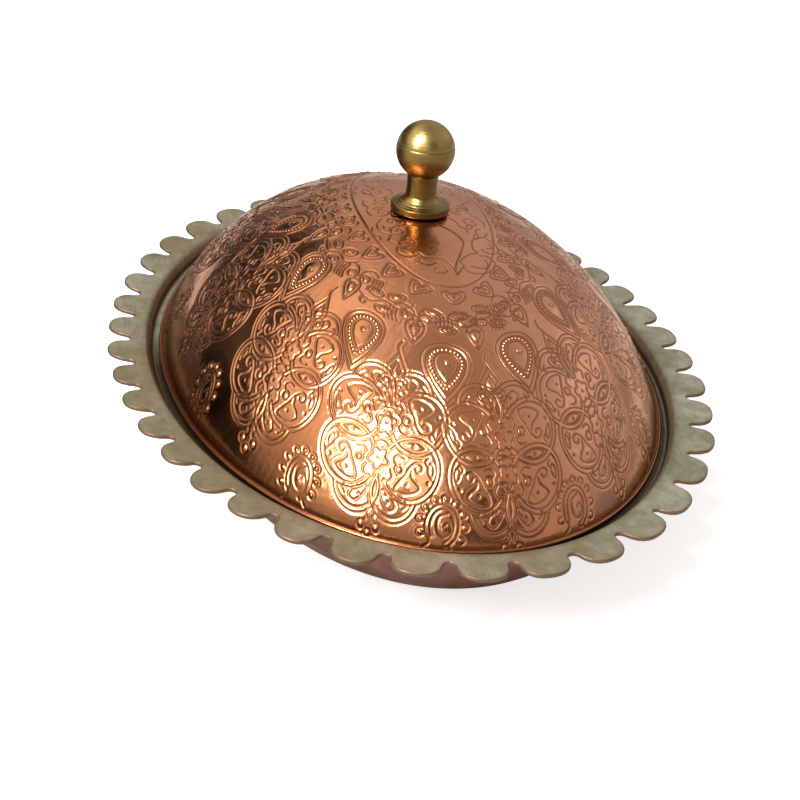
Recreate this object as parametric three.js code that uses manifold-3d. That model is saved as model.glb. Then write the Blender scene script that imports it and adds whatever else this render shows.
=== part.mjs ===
// Oval copper butter dish with a domed, chased lid. Millimetres, +Z up.
// The origin is on the table under the middle of the flat base, and +X runs along the dish.
// The dish and the lid are each one oval sheet. The lid rests on a stepped seat inside the flange
// and lifts straight off. A turned brass knob is held on the lid by a screw from the inside.
import * as THREE from "three";
import { mergeVertices } from "three/addons/utils/BufferGeometryUtils.js";
import Module from "manifold-3d";

// Dish: one tinned copper sheet
const DISH_LENGTH = 210; // over the tongue tips, along X
const DISH_WIDTH = 156; // over the tongue tips, along Y
const DISH_HEIGHT = 23.5; // from the table to the top of the tongue tips
const DISH_SHEET = 1.0;
const RING_WIDTH = 4.0; // the uncut part of the flange, between the notches and the step
const FLANGE_RISE = 0.2; // how far the flange climbs towards its tips
const STEP_RUN = 1.2; // the step from the flange down to the lid's seat
const STEP_DROP = 3.2;
const SEAT_WIDTH = 5.9; // the ledge that the lid rests on
const WALL_LEAN = 14.7; // how far the wall runs in, from the ledge to the flat floor
const WALL_FULLNESS = 1.5; // above 1 the wall stays upright for longer before it turns in

// Tongues cut round the flange
const TONGUE_COUNT = 40;
const TONGUE_LENGTH = 6.2; // from a tip to the bottom of a notch
const NOTCH_RADIUS = 1.6;
const FLANK_ANGLE = 80; // degrees from the rim's own line to the side of a tongue
const TONGUE_DRIFT = 0.18; // tongues stand this share of a pitch further towards the two sides

// Lid: one copper sheet
const LID_SHEET = 0.8;
const LID_CLEARANCE = 1.9; // round the lid's lip, inside the step
const SEAT_GAP = 0.3; // between the lip and the ledge below it
const LIP_WIDTH = 2.2; // the flat lip round the foot of the dome
const DOME_HEIGHT = 41.4; // from the top of the lip to the crown
const CROWN_POWER = 1.85; // roundness of the crown
const SHOULDER_POWER = 0.66; // below 1 the dome's sides turn steeper towards the lip

// Knob: turned brass
const KNOB_GAP = 0.3; // between its foot and the crown
const FOOT_DIAMETER = 15;
const FOOT_HEIGHT = 1.8; // the straight side of the foot
const CONE_HEIGHT = 2.2; // the sloping top of the foot, up to the neck
const NECK_DIAMETER = 8;
const NECK_HEIGHT = 5.6;
const BALL_DIAMETER = 14.8;

// Screw and washer inside the lid
const SCREW_DIAMETER = 4;
const SCREW_REACH = 8; // how far the screw goes into the knob
const SCREW_CLEARANCE = 0.3; // round the screw in each hole
const BORE_SPARE = 1.5; // how much deeper the knob's hole is than the screw goes
const HEAD_DIAMETER = 8;
const HEAD_HEIGHT = 2.4;
const HEAD_CROWN_DIAMETER = 6.4; // the head narrows to this below its straight side
const HEAD_SIDE = 1.2;
const SLOT_WIDTH = 1.0;
const SLOT_DEPTH = 1.1;
const WASHER_DIAMETER = 11;
const WASHER_HEIGHT = 1.0;
const FASTENER_GAP = 0.3; // from the sheet to the washer, and from the washer to the screw's head

// How finely the curves are cut into flat faces
const OVAL_COLUMNS = 80;
const WALL_STEPS = 9;
const STEP_STEPS = 4;
const DOME_STEPS = 12;
const TIP_STEPS = 6;
const NOTCH_STEPS = 4;
const ROUND_SIDES = 36;
const BALL_STEPS = 12;
const ARC_DIVISIONS = 2000;
const MERGE_DISTANCE = 1e-5;
const TRIM_MARGIN = 1.0; // the sheet is made this much too wide, then cut to its tongues

const FLANGE_WIDTH = RING_WIDTH + TONGUE_LENGTH;
const SEAT_Z = DISH_HEIGHT - FLANGE_RISE - STEP_DROP;
const STEP_INSET = FLANGE_WIDTH + STEP_RUN; // the foot of the step
const STEP_SHIFT = 0.8 * DISH_SHEET; // the step's underside lies this much further out than its top
const WALL_INSET = STEP_INSET + SEAT_WIDTH; // the top of the bowl's wall
const LIP_INSET = STEP_INSET + LID_CLEARANCE;
const FOOT_INSET = LIP_INSET + LIP_WIDTH; // the foot of the dome
const LIP_Z = SEAT_Z + SEAT_GAP;
const CROWN_Z = LIP_Z + LID_SHEET + DOME_HEIGHT;
const BORE_RADIUS = SCREW_DIAMETER / 2 + SCREW_CLEARANCE;
const KNOB_BORE_DEPTH = SCREW_REACH + BORE_SPARE;

const wasm = await Module();
wasm.setup();

// A closed mesh as a solid that can be cut.
function toSolid(geometry) {
  const bare = geometry.clone();
  bare.deleteAttribute("normal");
  bare.deleteAttribute("uv");
  const merged = mergeVertices(bare, MERGE_DISTANCE);
  const mesh = new wasm.Mesh({
    numProp: 3,
    vertProperties: new Float32Array(merged.attributes.position.array),
    triVerts: new Uint32Array(merged.index.array),
  });
  return new wasm.Manifold(mesh);
}

// A solid back as a mesh.
function toGeometry(solid) {
  const mesh = solid.getMesh();
  const geometry = new THREE.BufferGeometry();
  geometry.setAttribute("position", new THREE.BufferAttribute(new Float32Array(mesh.vertProperties), 3));
  geometry.setIndex(new THREE.BufferAttribute(new Uint32Array(mesh.triVerts), 1));
  geometry.computeVertexNormals();
  return geometry;
}

// A skin over oval rings, each with half-axes a and b at the height z. The rings run outwards over
// the top, down round the edge and back underneath. A sheet with a hole joins its last ring to its
// first. One without a hole closes at a point in the middle of its first and its last ring.
function skinOverRings(rings, hasHole) {
  const positions = [];
  const faces = [];
  for (const ring of rings) {
    for (let column = 0; column < OVAL_COLUMNS; column += 1) {
      const turn = (2 * Math.PI * column) / OVAL_COLUMNS;
      positions.push(ring.a * Math.cos(turn), ring.b * Math.sin(turn), ring.z);
    }
  }
  const at = (ring, column) => (ring % rings.length) * OVAL_COLUMNS + (column % OVAL_COLUMNS);
  const bands = hasHole ? rings.length : rings.length - 1;
  for (let ring = 0; ring < bands; ring += 1) {
    for (let column = 0; column < OVAL_COLUMNS; column += 1) {
      const [p, q] = [at(ring, column), at(ring + 1, column)];
      const [r, s] = [at(ring + 1, column + 1), at(ring, column + 1)];
      faces.push(p, q, r, p, r, s);
    }
  }
  if (!hasHole) {
    const top = positions.length / 3;
    const bottom = top + 1;
    const last = rings.length - 1;
    positions.push(0, 0, rings[0].z, 0, 0, rings[last].z);
    for (let column = 0; column < OVAL_COLUMNS; column += 1) {
      faces.push(top, at(0, column), at(0, column + 1));
      faces.push(bottom, at(last, column + 1), at(last, column));
    }
  }
  const geometry = new THREE.BufferGeometry();
  geometry.setAttribute("position", new THREE.Float32BufferAttribute(positions, 3));
  geometry.setIndex(faces);
  geometry.computeVertexNormals();
  return geometry;
}

// The ring that lies the given inset inside the oval of the tongue tips.
function insetRing(inset, z) {
  return { a: DISH_LENGTH / 2 - inset, b: DISH_WIDTH / 2 - inset, z };
}

// The top of the bowl, from the edge of its flat floor up the wall to the ledge.
function bowlRings() {
  const rings = [];
  for (let step = 0; step <= WALL_STEPS; step += 1) {
    const turn = (Math.PI / 2) * (step / WALL_STEPS);
    const up = 1 - Math.cos(turn) ** WALL_FULLNESS;
    const inset = WALL_INSET + WALL_LEAN * (1 - Math.sin(turn));
    rings.push(insetRing(inset, THREE.MathUtils.lerp(DISH_SHEET, SEAT_Z, up)));
  }
  return rings;
}

// The step from the ledge up to the flange, then the flange to a little past the tongue tips, all
// moved out at the step and down by the given distances.
function rimRings(out, down) {
  const rings = [];
  for (let step = 0; step <= STEP_STEPS; step += 1) {
    const share = step / STEP_STEPS;
    const climb = (1 - Math.cos(Math.PI * share)) / 2;
    rings.push(insetRing(STEP_INSET - STEP_RUN * share - out, SEAT_Z + STEP_DROP * climb - down));
  }
  const slope = FLANGE_RISE / FLANGE_WIDTH;
  rings.push(insetRing(-TRIM_MARGIN, DISH_HEIGHT + slope * TRIM_MARGIN - down));
  return rings;
}

// The underside of a sheet: each ring of the top moved square to the sheet by its thickness.
function undersideRings(top, thickness) {
  return top.map((ring, index) => {
    const before = top[Math.max(index - 1, 0)];
    const after = top[Math.min(index + 1, top.length - 1)];
    const run = (after.a - before.a + after.b - before.b) / 2;
    const rise = after.z - before.z;
    const length = Math.hypot(run, rise);
    const out = (thickness * rise) / length;
    const down = (thickness * run) / length;
    return { a: ring.a + out, b: ring.b + out, z: ring.z - down };
  });
}

// One tongue and the notch after it, as (share of a pitch, depth from the tips). The bottom of the
// notch and the tip are arcs, with a straight flank between them. The tip's radius is the one whose
// arc touches the flanks on both its sides.
function tongueOutline(pitch) {
  const across = pitch / 2;
  const flank = THREE.MathUtils.degToRad(FLANK_ANGLE);
  const [sine, cosine] = [Math.sin(flank), Math.cos(flank)];
  const spare = across * sine - (TONGUE_LENGTH - NOTCH_RADIUS) * cosine - NOTCH_RADIUS;
  const tipRadius = spare / (1 - cosine);
  const points = [];
  for (let step = 0; step <= TIP_STEPS; step += 1) {
    const turn = flank * ((2 * step) / TIP_STEPS - 1);
    points.push([tipRadius * Math.sin(turn), tipRadius * (1 - Math.cos(turn))]);
  }
  for (let step = 0; step <= NOTCH_STEPS; step += 1) {
    const turn = flank * ((2 * step) / NOTCH_STEPS - 1);
    const depth = TONGUE_LENGTH - NOTCH_RADIUS * (1 - Math.cos(turn));
    points.push([across + NOTCH_RADIUS * Math.sin(turn), depth]);
  }
  return points.map(([along, depth]) => [along / pitch, depth]);
}

// The whole cut edge of the flange, seen from above.
function flangeShape() {
  const tips = new THREE.EllipseCurve(0, 0, DISH_LENGTH / 2, DISH_WIDTH / 2);
  tips.arcLengthDivisions = ARC_DIVISIONS;
  const outline = tongueOutline(tips.getLength() / TONGUE_COUNT);
  const points = [];
  for (let tongue = 0; tongue < TONGUE_COUNT; tongue += 1) {
    for (const [share, depth] of outline) {
      const place = (tongue + share) / TONGUE_COUNT;
      const drift = (TONGUE_DRIFT / TONGUE_COUNT) * Math.sin(4 * Math.PI * place);
      const along = THREE.MathUtils.euclideanModulo(place + drift, 1);
      const point = tips.getPointAt(along);
      const tangent = tips.getTangentAt(along);
      points.push(new THREE.Vector2(point.x - depth * tangent.y, point.y + depth * tangent.x));
    }
  }
  return new THREE.Shape(points);
}

// The dish: bowl, ledge, step and flange in one sheet, with the tongues cut out of its edge.
function dishGeometry() {
  const bowl = bowlRings();
  const rim = rimRings(0, 0);
  const bowlUnder = undersideRings([...bowl, rim[0]], DISH_SHEET).slice(0, bowl.length);
  const under = [...bowlUnder, ...rimRings(STEP_SHIFT, DISH_SHEET)].reverse();
  const sheet = skinOverRings([...bowl, ...rim, ...under], false);
  const cutter = new THREE.ExtrudeGeometry(flangeShape(), {
    depth: DISH_HEIGHT + 2 * FLANGE_RISE + DISH_SHEET,
    bevelEnabled: false,
  });
  cutter.translate(0, 0, -DISH_SHEET);
  return toGeometry(toSolid(sheet).intersect(toSolid(cutter)));
}

// One face of the dome, from the edge of the screw hole down to the dome's foot.
function domeRings(foot) {
  const rings = [];
  for (let step = 0; step <= DOME_STEPS; step += 1) {
    const share = Math.sin((Math.PI / 2) * (step / DOME_STEPS));
    rings.push({
      a: THREE.MathUtils.lerp(BORE_RADIUS, foot.a, share),
      b: THREE.MathUtils.lerp(BORE_RADIUS, foot.b, share),
      z: foot.z + DOME_HEIGHT * (1 - share ** CROWN_POWER) ** SHOULDER_POWER,
    });
  }
  return rings;
}

// The lid: dome and lip in one sheet, with a hole for the screw.
function lidGeometry() {
  const outer = domeRings(insetRing(FOOT_INSET, LIP_Z + LID_SHEET));
  const inner = domeRings(insetRing(FOOT_INSET + LID_SHEET, LIP_Z)).reverse();
  const lip = [insetRing(LIP_INSET, LIP_Z + LID_SHEET), insetRing(LIP_INSET, LIP_Z)];
  return skinOverRings([...outer, ...lip, ...inner], true);
}

// A turned piece: its profile is a list of (radius, height) that starts and ends on the axis, or
// that closes on itself round a bore.
function turned(profile) {
  const points = profile.map(([radius, height]) => new THREE.Vector2(radius, height));
  return new THREE.LatheGeometry(points, ROUND_SIDES).rotateX(Math.PI / 2);
}

// The knob: a foot with a sloping top, a straight neck and a ball, with a blind hole for the screw.
// Heights are above its underside.
function knobGeometry() {
  const neck = NECK_DIAMETER / 2;
  const ball = BALL_DIAMETER / 2;
  const neckFoot = FOOT_HEIGHT + CONE_HEIGHT;
  const neckTop = neckFoot + NECK_HEIGHT;
  const ballCentre = neckTop + Math.sqrt(ball ** 2 - neck ** 2);
  const start = Math.asin(neck / ball);
  const profile = [
    [0, KNOB_BORE_DEPTH],
    [BORE_RADIUS, KNOB_BORE_DEPTH],
    [BORE_RADIUS, 0],
    [FOOT_DIAMETER / 2, 0],
    [FOOT_DIAMETER / 2, FOOT_HEIGHT],
    [neck, neckFoot],
  ];
  for (let step = 0; step < BALL_STEPS; step += 1) {
    const turn = THREE.MathUtils.lerp(start, Math.PI, step / BALL_STEPS);
    profile.push([ball * Math.sin(turn), ballCentre - ball * Math.cos(turn)]);
  }
  profile.push([0, ballCentre + ball]);
  return turned(profile);
}

// The washer inside the lid, with its top at height 0.
function washerGeometry() {
  const edge = WASHER_DIAMETER / 2;
  return turned([
    [BORE_RADIUS, -WASHER_HEIGHT],
    [edge, -WASHER_HEIGHT],
    [edge, 0],
    [BORE_RADIUS, 0],
    [BORE_RADIUS, -WASHER_HEIGHT],
  ]);
}

// The screw, with the face under its head at height 0, the head below and the shank above.
function screwGeometry(shankLength) {
  const shank = SCREW_DIAMETER / 2;
  const head = HEAD_DIAMETER / 2;
  const screw = turned([
    [0, -HEAD_HEIGHT],
    [HEAD_CROWN_DIAMETER / 2, -HEAD_HEIGHT],
    [head, -HEAD_SIDE],
    [head, 0],
    [shank, 0],
    [shank, shankLength],
    [0, shankLength],
  ]);
  const slot = new THREE.BoxGeometry(HEAD_DIAMETER * 2, SLOT_WIDTH, 2 * SLOT_DEPTH);
  slot.translate(0, 0, -HEAD_HEIGHT);
  return toGeometry(toSolid(screw).subtract(toSolid(slot)));
}

function addPiece(group, name, geometry, z, color, roughness) {
  const material = new THREE.MeshStandardMaterial({ color, roughness, metalness: 1 });
  const mesh = new THREE.Mesh(geometry, material);
  mesh.name = name;
  mesh.position.z = z;
  group.add(mesh);
}

const crownInside = CROWN_Z - LID_SHEET;
const washerTop = crownInside - FASTENER_GAP;
const screwSeat = washerTop - WASHER_HEIGHT - FASTENER_GAP;
const knobFoot = CROWN_Z + KNOB_GAP;

const dish = new THREE.Group();
addPiece(dish, "dish", dishGeometry(), 0, 0xa8a796, 0.42);

const lid = new THREE.Group();
addPiece(lid, "lid_dome", lidGeometry(), 0, 0xc0714e, 0.22);
addPiece(lid, "knob", knobGeometry(), knobFoot, 0xa88c45, 0.3);
addPiece(lid, "knob_washer", washerGeometry(), washerTop, 0xa88c45, 0.4);
addPiece(lid, "knob_screw", screwGeometry(knobFoot - screwSeat + SCREW_REACH), screwSeat, 0x9a9a96, 0.35);

const butterDish = new THREE.Group();
butterDish.add(dish, lid);

export default butterDish;
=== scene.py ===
# %% [markdown]
# An oval copper butter dish. A tinned copper dish has a flange cut into forty rounded tongues. A
# domed copper lid, chased all over with a pattern, rests on a ledge inside the flange, and it is
# lifted by a turned brass ball knob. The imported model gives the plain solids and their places.
# This lesson dresses them: each sheet is worked out with numpy as a grid of points, and the pattern
# is real depth in the mesh, so the light finds it from any side.

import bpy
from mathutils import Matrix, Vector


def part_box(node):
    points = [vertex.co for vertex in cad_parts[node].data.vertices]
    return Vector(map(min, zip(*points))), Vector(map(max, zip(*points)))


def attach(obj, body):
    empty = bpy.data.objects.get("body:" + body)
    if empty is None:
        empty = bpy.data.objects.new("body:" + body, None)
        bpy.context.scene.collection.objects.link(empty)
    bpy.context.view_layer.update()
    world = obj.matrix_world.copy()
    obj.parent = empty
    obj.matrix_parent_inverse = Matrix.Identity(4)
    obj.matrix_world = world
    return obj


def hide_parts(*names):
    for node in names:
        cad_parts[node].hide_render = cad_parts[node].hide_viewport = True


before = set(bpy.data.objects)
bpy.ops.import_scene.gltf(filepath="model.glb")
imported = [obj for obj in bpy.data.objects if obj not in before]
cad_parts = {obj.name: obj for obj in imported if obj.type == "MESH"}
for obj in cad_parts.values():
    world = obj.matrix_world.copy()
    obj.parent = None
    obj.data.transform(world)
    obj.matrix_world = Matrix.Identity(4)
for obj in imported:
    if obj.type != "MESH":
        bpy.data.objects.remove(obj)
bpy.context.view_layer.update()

import bpy
import numpy as np
from mathutils import Matrix, Vector

MM = 0.001  # metres in a millimetre: shapes below are in millimetres
dish_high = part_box("dish")[1]
TIP_A = dish_high.x / MM  # half-axes of the oval that the tongue tips touch
TIP_B = dish_high.y / MM
DISH_Z = dish_high.z / MM
print(f"tips on an oval of {2 * TIP_A:.1f} by {2 * TIP_B:.1f} mm, {DISH_Z:.1f} mm above the table")

# %% [markdown]
# Every piece here is a grid: rows of points, each row a closed ring. Blender could make such rings
# from primitives and modifiers, but a grid from numpy knows which row and column each point is in,
# so a pattern, a colour mask or a thickness can be worked out for all the points at once.

# %% Meshes from whole arrays
def grid_faces(rows, columns, first=0, joined=False):
    """Quads between neighbouring rings: corner (row, column) is point first + row * columns + column.
    The last column joins the first, and if joined the last row joins the first row too. With rows
    running outwards and columns turning anticlockwise, the faces look up."""
    row = np.arange(rows if joined else rows - 1)[:, None]
    near, far = first + columns * row, first + columns * ((row + 1) % rows)
    here = np.arange(columns)[None, :]
    there = (here + 1) % columns
    return np.stack([near + here, far + here, far + there, near + there], axis=-1).reshape(-1, 4)


def fan_faces(centre, ring, columns, up=True):
    """Triangles from one point to every stretch of a ring."""
    here = np.arange(columns)
    there = (here + 1) % columns
    order = [np.full(columns, centre), ring + here, ring + there]
    return np.stack(order if up else order[::-1], axis=1)


def on_oval(half_a, half_b, turn):
    """Points (half_a * cos, half_b * sin) at the angles turn."""
    return np.stack([half_a * np.cos(turn), half_b * np.sin(turn)], axis=-1)


def at_height(ring, height):
    """Flat points lifted to a height, or each to its own."""
    return np.column_stack([ring, np.zeros(len(ring)) + height])


def lengths_along(curve):
    """The length of a curve up to each of its points."""
    return np.concatenate([[0], np.cumsum(np.linalg.norm(np.diff(curve, axis=0), axis=1))])


def build_piece(name, points, faces, smooth):
    """A mesh object from points in millimetres and a list of arrays of faces, one array for each
    number of corners. smooth holds True or False for each of those arrays."""
    mesh = bpy.data.meshes.new(name)
    corners = np.concatenate([part.ravel() for part in faces]).astype(np.int32)
    sizes = np.concatenate([np.full(len(part), part.shape[1]) for part in faces])
    shading = np.concatenate([np.full(len(part), flag) for part, flag in zip(faces, smooth)])
    mesh.vertices.add(len(points))
    mesh.vertices.foreach_set("co", (np.asarray(points) * MM).astype(np.float32).ravel())
    mesh.loops.add(len(corners))
    mesh.loops.foreach_set("vertex_index", corners)
    mesh.polygons.add(len(sizes))
    mesh.polygons.foreach_set("loop_start", (np.cumsum(sizes) - sizes).astype(np.int32))
    mesh.polygons.foreach_set("use_smooth", shading)
    mesh.update(calc_edges=True)
    mesh.validate()
    piece = bpy.data.objects.new(name, mesh)
    bpy.context.scene.collection.objects.link(piece)
    triangles = int((sizes - 2).sum())
    print(f"{name}: {len(points)} points, {triangles} triangles")
    return piece


def add_value(piece, name, values):
    """One number for each point of the mesh, which a material can read by its name."""
    layer = piece.data.attributes.new(name, "FLOAT", "POINT")
    layer.data.foreach_set("value", np.asarray(values, dtype=np.float32).ravel())


# %% [markdown]
# The lid's dome is one formula. Its two half-axes grow in a straight line from the screw hole to
# the foot, and its height falls slowly at the crown and fast at the skirt. Rows of the grid are
# spaced by the length of the curve, not by the half-axes, so the steep skirt gets as many points
# as the flat crown.

# %% The dome's formula
BORE = 2.3  # half-axis of the screw hole
LIP_TOP = 21.2
SHEET = 0.8
CROWN_RISE = 41.4
CROWN_POWER = 1.85
SHOULDER_POWER = 0.66
FOOT_INSET = 15.5  # from the tip oval in to the dome's foot
SLOPE_STEPS = 4001  # points that the slope's length is measured with
FOOT_A = TIP_A - FOOT_INSET
FOOT_B = TIP_B - FOOT_INSET


def dome_points(spread, turn, depth=0.0):
    """Points of the dome, at spread 0 by the screw hole to 1 at the foot, and at the angle turn.
    Half-axes: from the bore to the foot in a straight line. Height: the rise times
    (1 - spread ** crown) ** shoulder. depth moves the foot in and everything down by that much."""
    half_a = BORE + (FOOT_A - depth - BORE) * spread
    half_b = BORE + (FOOT_B - depth - BORE) * spread
    fall = np.clip(1 - spread**CROWN_POWER, 0, 1) ** SHOULDER_POWER
    height = LIP_TOP - depth + CROWN_RISE * fall + 0 * turn
    return np.stack([half_a * np.cos(turn), half_b * np.sin(turn), height], axis=-1)


fine_spread = 1 - (1 - np.linspace(0, 1, SLOPE_STEPS)) ** 2
middle_out = BORE + ((FOOT_A + FOOT_B) / 2 - BORE) * fine_spread
middle_up = CROWN_RISE * np.clip(1 - fine_spread**CROWN_POWER, 0, 1) ** SHOULDER_POWER
fine_length = np.concatenate([[0], np.cumsum(np.hypot(np.diff(middle_out), np.diff(middle_up)))])


def spread_at(share):
    """The dome's spread at a share of the way down its middle curve, 0 at the hole, 1 at the foot."""
    return np.interp(np.asarray(share) * fine_length[-1], fine_length, fine_spread)


def slope_length(turn):
    """Length in millimetres of the curve from the hole to the foot at the angle turn."""
    curve = dome_points(fine_spread, np.full_like(fine_spread, turn))
    return np.linalg.norm(np.diff(curve, axis=0), axis=1).sum()


print(f"dome: middle curve {fine_length[-1]:.1f} mm, {slope_length(0):.1f} mm along the dish")

# %% [markdown]
# The coppersmith draws the pattern, then follows each line with blunt punches. A punched line is a
# groove with softly raised shoulders, and a bead or petal is metal left standing between grooves.
# So each motif is drawn here as on paper: a small plan in millimetres that keeps, at every point,
# the distance to the nearest line, and how far the metal swells. Distances turn into grooves later,
# all with one profile, which is what one set of punches gives.

# %% A plan of a motif
PLAN_STEP = 0.1  # millimetres between the points of a plan
FAR = 9.0  # what a plan holds where no line is near
REACH = 1.7  # lines are felt this far away
RUN = 8  # stretches of a curve that are handled together


def blank_plan(half_wide, half_high):
    """An empty plan. u runs to the right, v runs down towards the lid's foot."""
    u = np.arange(-half_wide, half_wide + PLAN_STEP, PLAN_STEP, dtype=np.float32)
    v = np.arange(-half_high, half_high + PLAN_STEP, PLAN_STEP, dtype=np.float32)
    size = (v.size, u.size)
    return {
        "u": u,
        "v": v,
        "line": np.full(size, FAR, np.float32),
        "cord": np.full(size, FAR, np.float32),
        "fine": np.full(size, FAR, np.float32),
        "swell": np.zeros(size, np.float32),
    }


def window(plan, low, high):
    """The part of a plan between two corners, as row and column slices."""
    columns = slice(*np.searchsorted(plan["u"], (low[0], high[0])))
    rows = slice(*np.searchsorted(plan["v"], (low[1], high[1])))
    return rows, columns


def draw(plan, curve, layer="line"):
    """Keeps the distance to the curve's straight stretches: for each plan point, its foot on each
    stretch, clipped to the stretch's ends, and the smallest distance to those feet."""
    curve = np.asarray(curve, dtype=np.float32)
    for start in range(0, len(curve) - 1, RUN):
        part = curve[start : start + RUN + 1]
        rows, columns = window(plan, part.min(0) - REACH, part.max(0) + REACH)
        u = plan["u"][None, None, columns]
        v = plan["v"][None, rows, None]
        step = np.diff(part, axis=0)
        length = np.maximum((step**2).sum(1), 1e-6)[:, None, None]
        au, av = part[:-1, 0, None, None], part[:-1, 1, None, None]
        du, dv = step[:, 0, None, None], step[:, 1, None, None]
        along = np.clip(((u - au) * du + (v - av) * dv) / length, 0, 1)
        gap = np.hypot(u - au - along * du, v - av - along * dv)
        if gap.size:
            view = plan[layer][rows, columns]
            np.minimum(view, gap.min(axis=0), out=view)


def swell(plan, u, v, wide, high, lift, turn=0.0):
    """Raises an oval pillow: lift times one minus the squared distance from its middle, measured in
    its own half-axes."""
    reach = max(wide, high)
    rows, columns = window(plan, (u - reach, v - reach), (u + reach, v + reach))
    du = plan["u"][None, columns] - u
    dv = plan["v"][rows, None] - v
    c, s = np.cos(np.radians(turn)), np.sin(np.radians(turn))
    inside = 1 - ((c * du + s * dv) / wide) ** 2 - ((c * dv - s * du) / high) ** 2
    view = plan["swell"][rows, columns]
    np.maximum(view, lift * np.clip(inside, 0, 1), out=view)


# %% [markdown]
# All the motifs are made from a few kinds of curve: arcs, leaves with two points, drops with one,
# curls, and a smooth line through a few points. Each returns its points as one array, and one
# function moves, turns, flips and sizes them.

# %% Curves to draw with
def arc(u, v, radius, start=0, stop=360, squash=1.0):
    """Points on a circle, or on an oval where squash isn't 1; angles run from +u towards +v."""
    count = max(10, int(abs(stop - start) / 8))
    angle = np.radians(np.linspace(start, stop, count))
    return np.stack([u + radius * np.cos(angle), v + radius * squash * np.sin(angle)], axis=1)


def curl(u, v, first, last, start, stop):
    """A spiral whose radius runs evenly from first to last while its angle turns."""
    count = max(12, int(abs(stop - start) / 12))
    angle = np.radians(np.linspace(start, stop, count))
    radius = np.linspace(first, last, count)
    return np.stack([u + radius * np.cos(angle), v + radius * np.sin(angle)], axis=1)


def leaf(length, width):
    """A closed leaf along v with a point at both ends: u = width / 2 * sin * |sin|, v = cos."""
    angle = np.linspace(0, 2 * np.pi, 33)
    u = width / 2 * np.sin(angle) * np.abs(np.sin(angle))
    return np.stack([u, length / 2 * np.cos(angle)], axis=1)


def drop(length, width, sharp=1.5):
    """A closed drop along v with its point at +v: u = sin(angle) * sin(angle / 2) ** sharp, v = cos."""
    angle = np.linspace(0, 2 * np.pi, 57)
    u = np.sin(angle) * np.sin(angle / 2) ** sharp
    return np.stack([u * width / 2 / u.max(), length / 2 * np.cos(angle)], axis=1)


def flow(*knots, closed=False):
    """A smooth line through the knots, each stretch a cubic whose slope at a knot is half the step
    between that knot's two neighbours."""
    knots = np.asarray(knots, dtype=float)
    around = np.vstack([knots[-2:-1], knots, knots[1:2]] if closed else [knots[:1], knots, knots[-1:]])
    slopes = (around[2:] - around[:-2]) / 2
    t = np.linspace(0, 1, 9)[None, :, None]
    a, b = knots[:-1, None], knots[1:, None]
    sa, sb = slopes[:-1, None], slopes[1:, None]
    points = (1 + 2 * t) * (1 - t) ** 2 * a + t * (1 - t) ** 2 * sa
    points = points + t**2 * (3 - 2 * t) * b + t**2 * (t - 1) * sb
    return points.reshape(-1, 2)


def placed(curve, u=0.0, v=0.0, turn=0.0, size=1.0, flip_u=1, flip_v=1):
    """The curve flipped, sized, turned and moved."""
    c, s = np.cos(np.radians(turn)), np.sin(np.radians(turn))
    x, y = curve[:, 0] * size * flip_u, curve[:, 1] * size * flip_v
    return np.stack([u + c * x - s * y, v + s * x + c * y], axis=1)


def draw_pair(plan, *curves):
    """Draws each curve and its mirror image."""
    for curve in curves:
        for flip in (1, -1):
            draw(plan, placed(curve, flip_u=flip))


def swell_pair(plan, u, v, wide, high, lift):
    """Raises an oval pillow and its mirror image."""
    for flip in (1, -1):
        swell(plan, flip * u, v, wide, high, lift)


# %% [markdown]
# The largest motif is a four-lobed medallion. Four corded circles overlap in pairs, so an eye
# shape appears between them by itself, and a second, smaller circle looks out behind each. Leaves,
# curls and two flowers fill it. One quarter is drawn, and the flips give the other three.

# %% The medallion
LOBE_U, LOBE_V, LOBE_R = 8.1, 5.3, 7.1
BACK_U, BACK_V, BACK_R = 4.8, 11.2, 5.6
EYE_ANGLE = 132  # where on its circle each lobe meets the one below it, near the middle
PETALS = 5


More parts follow.
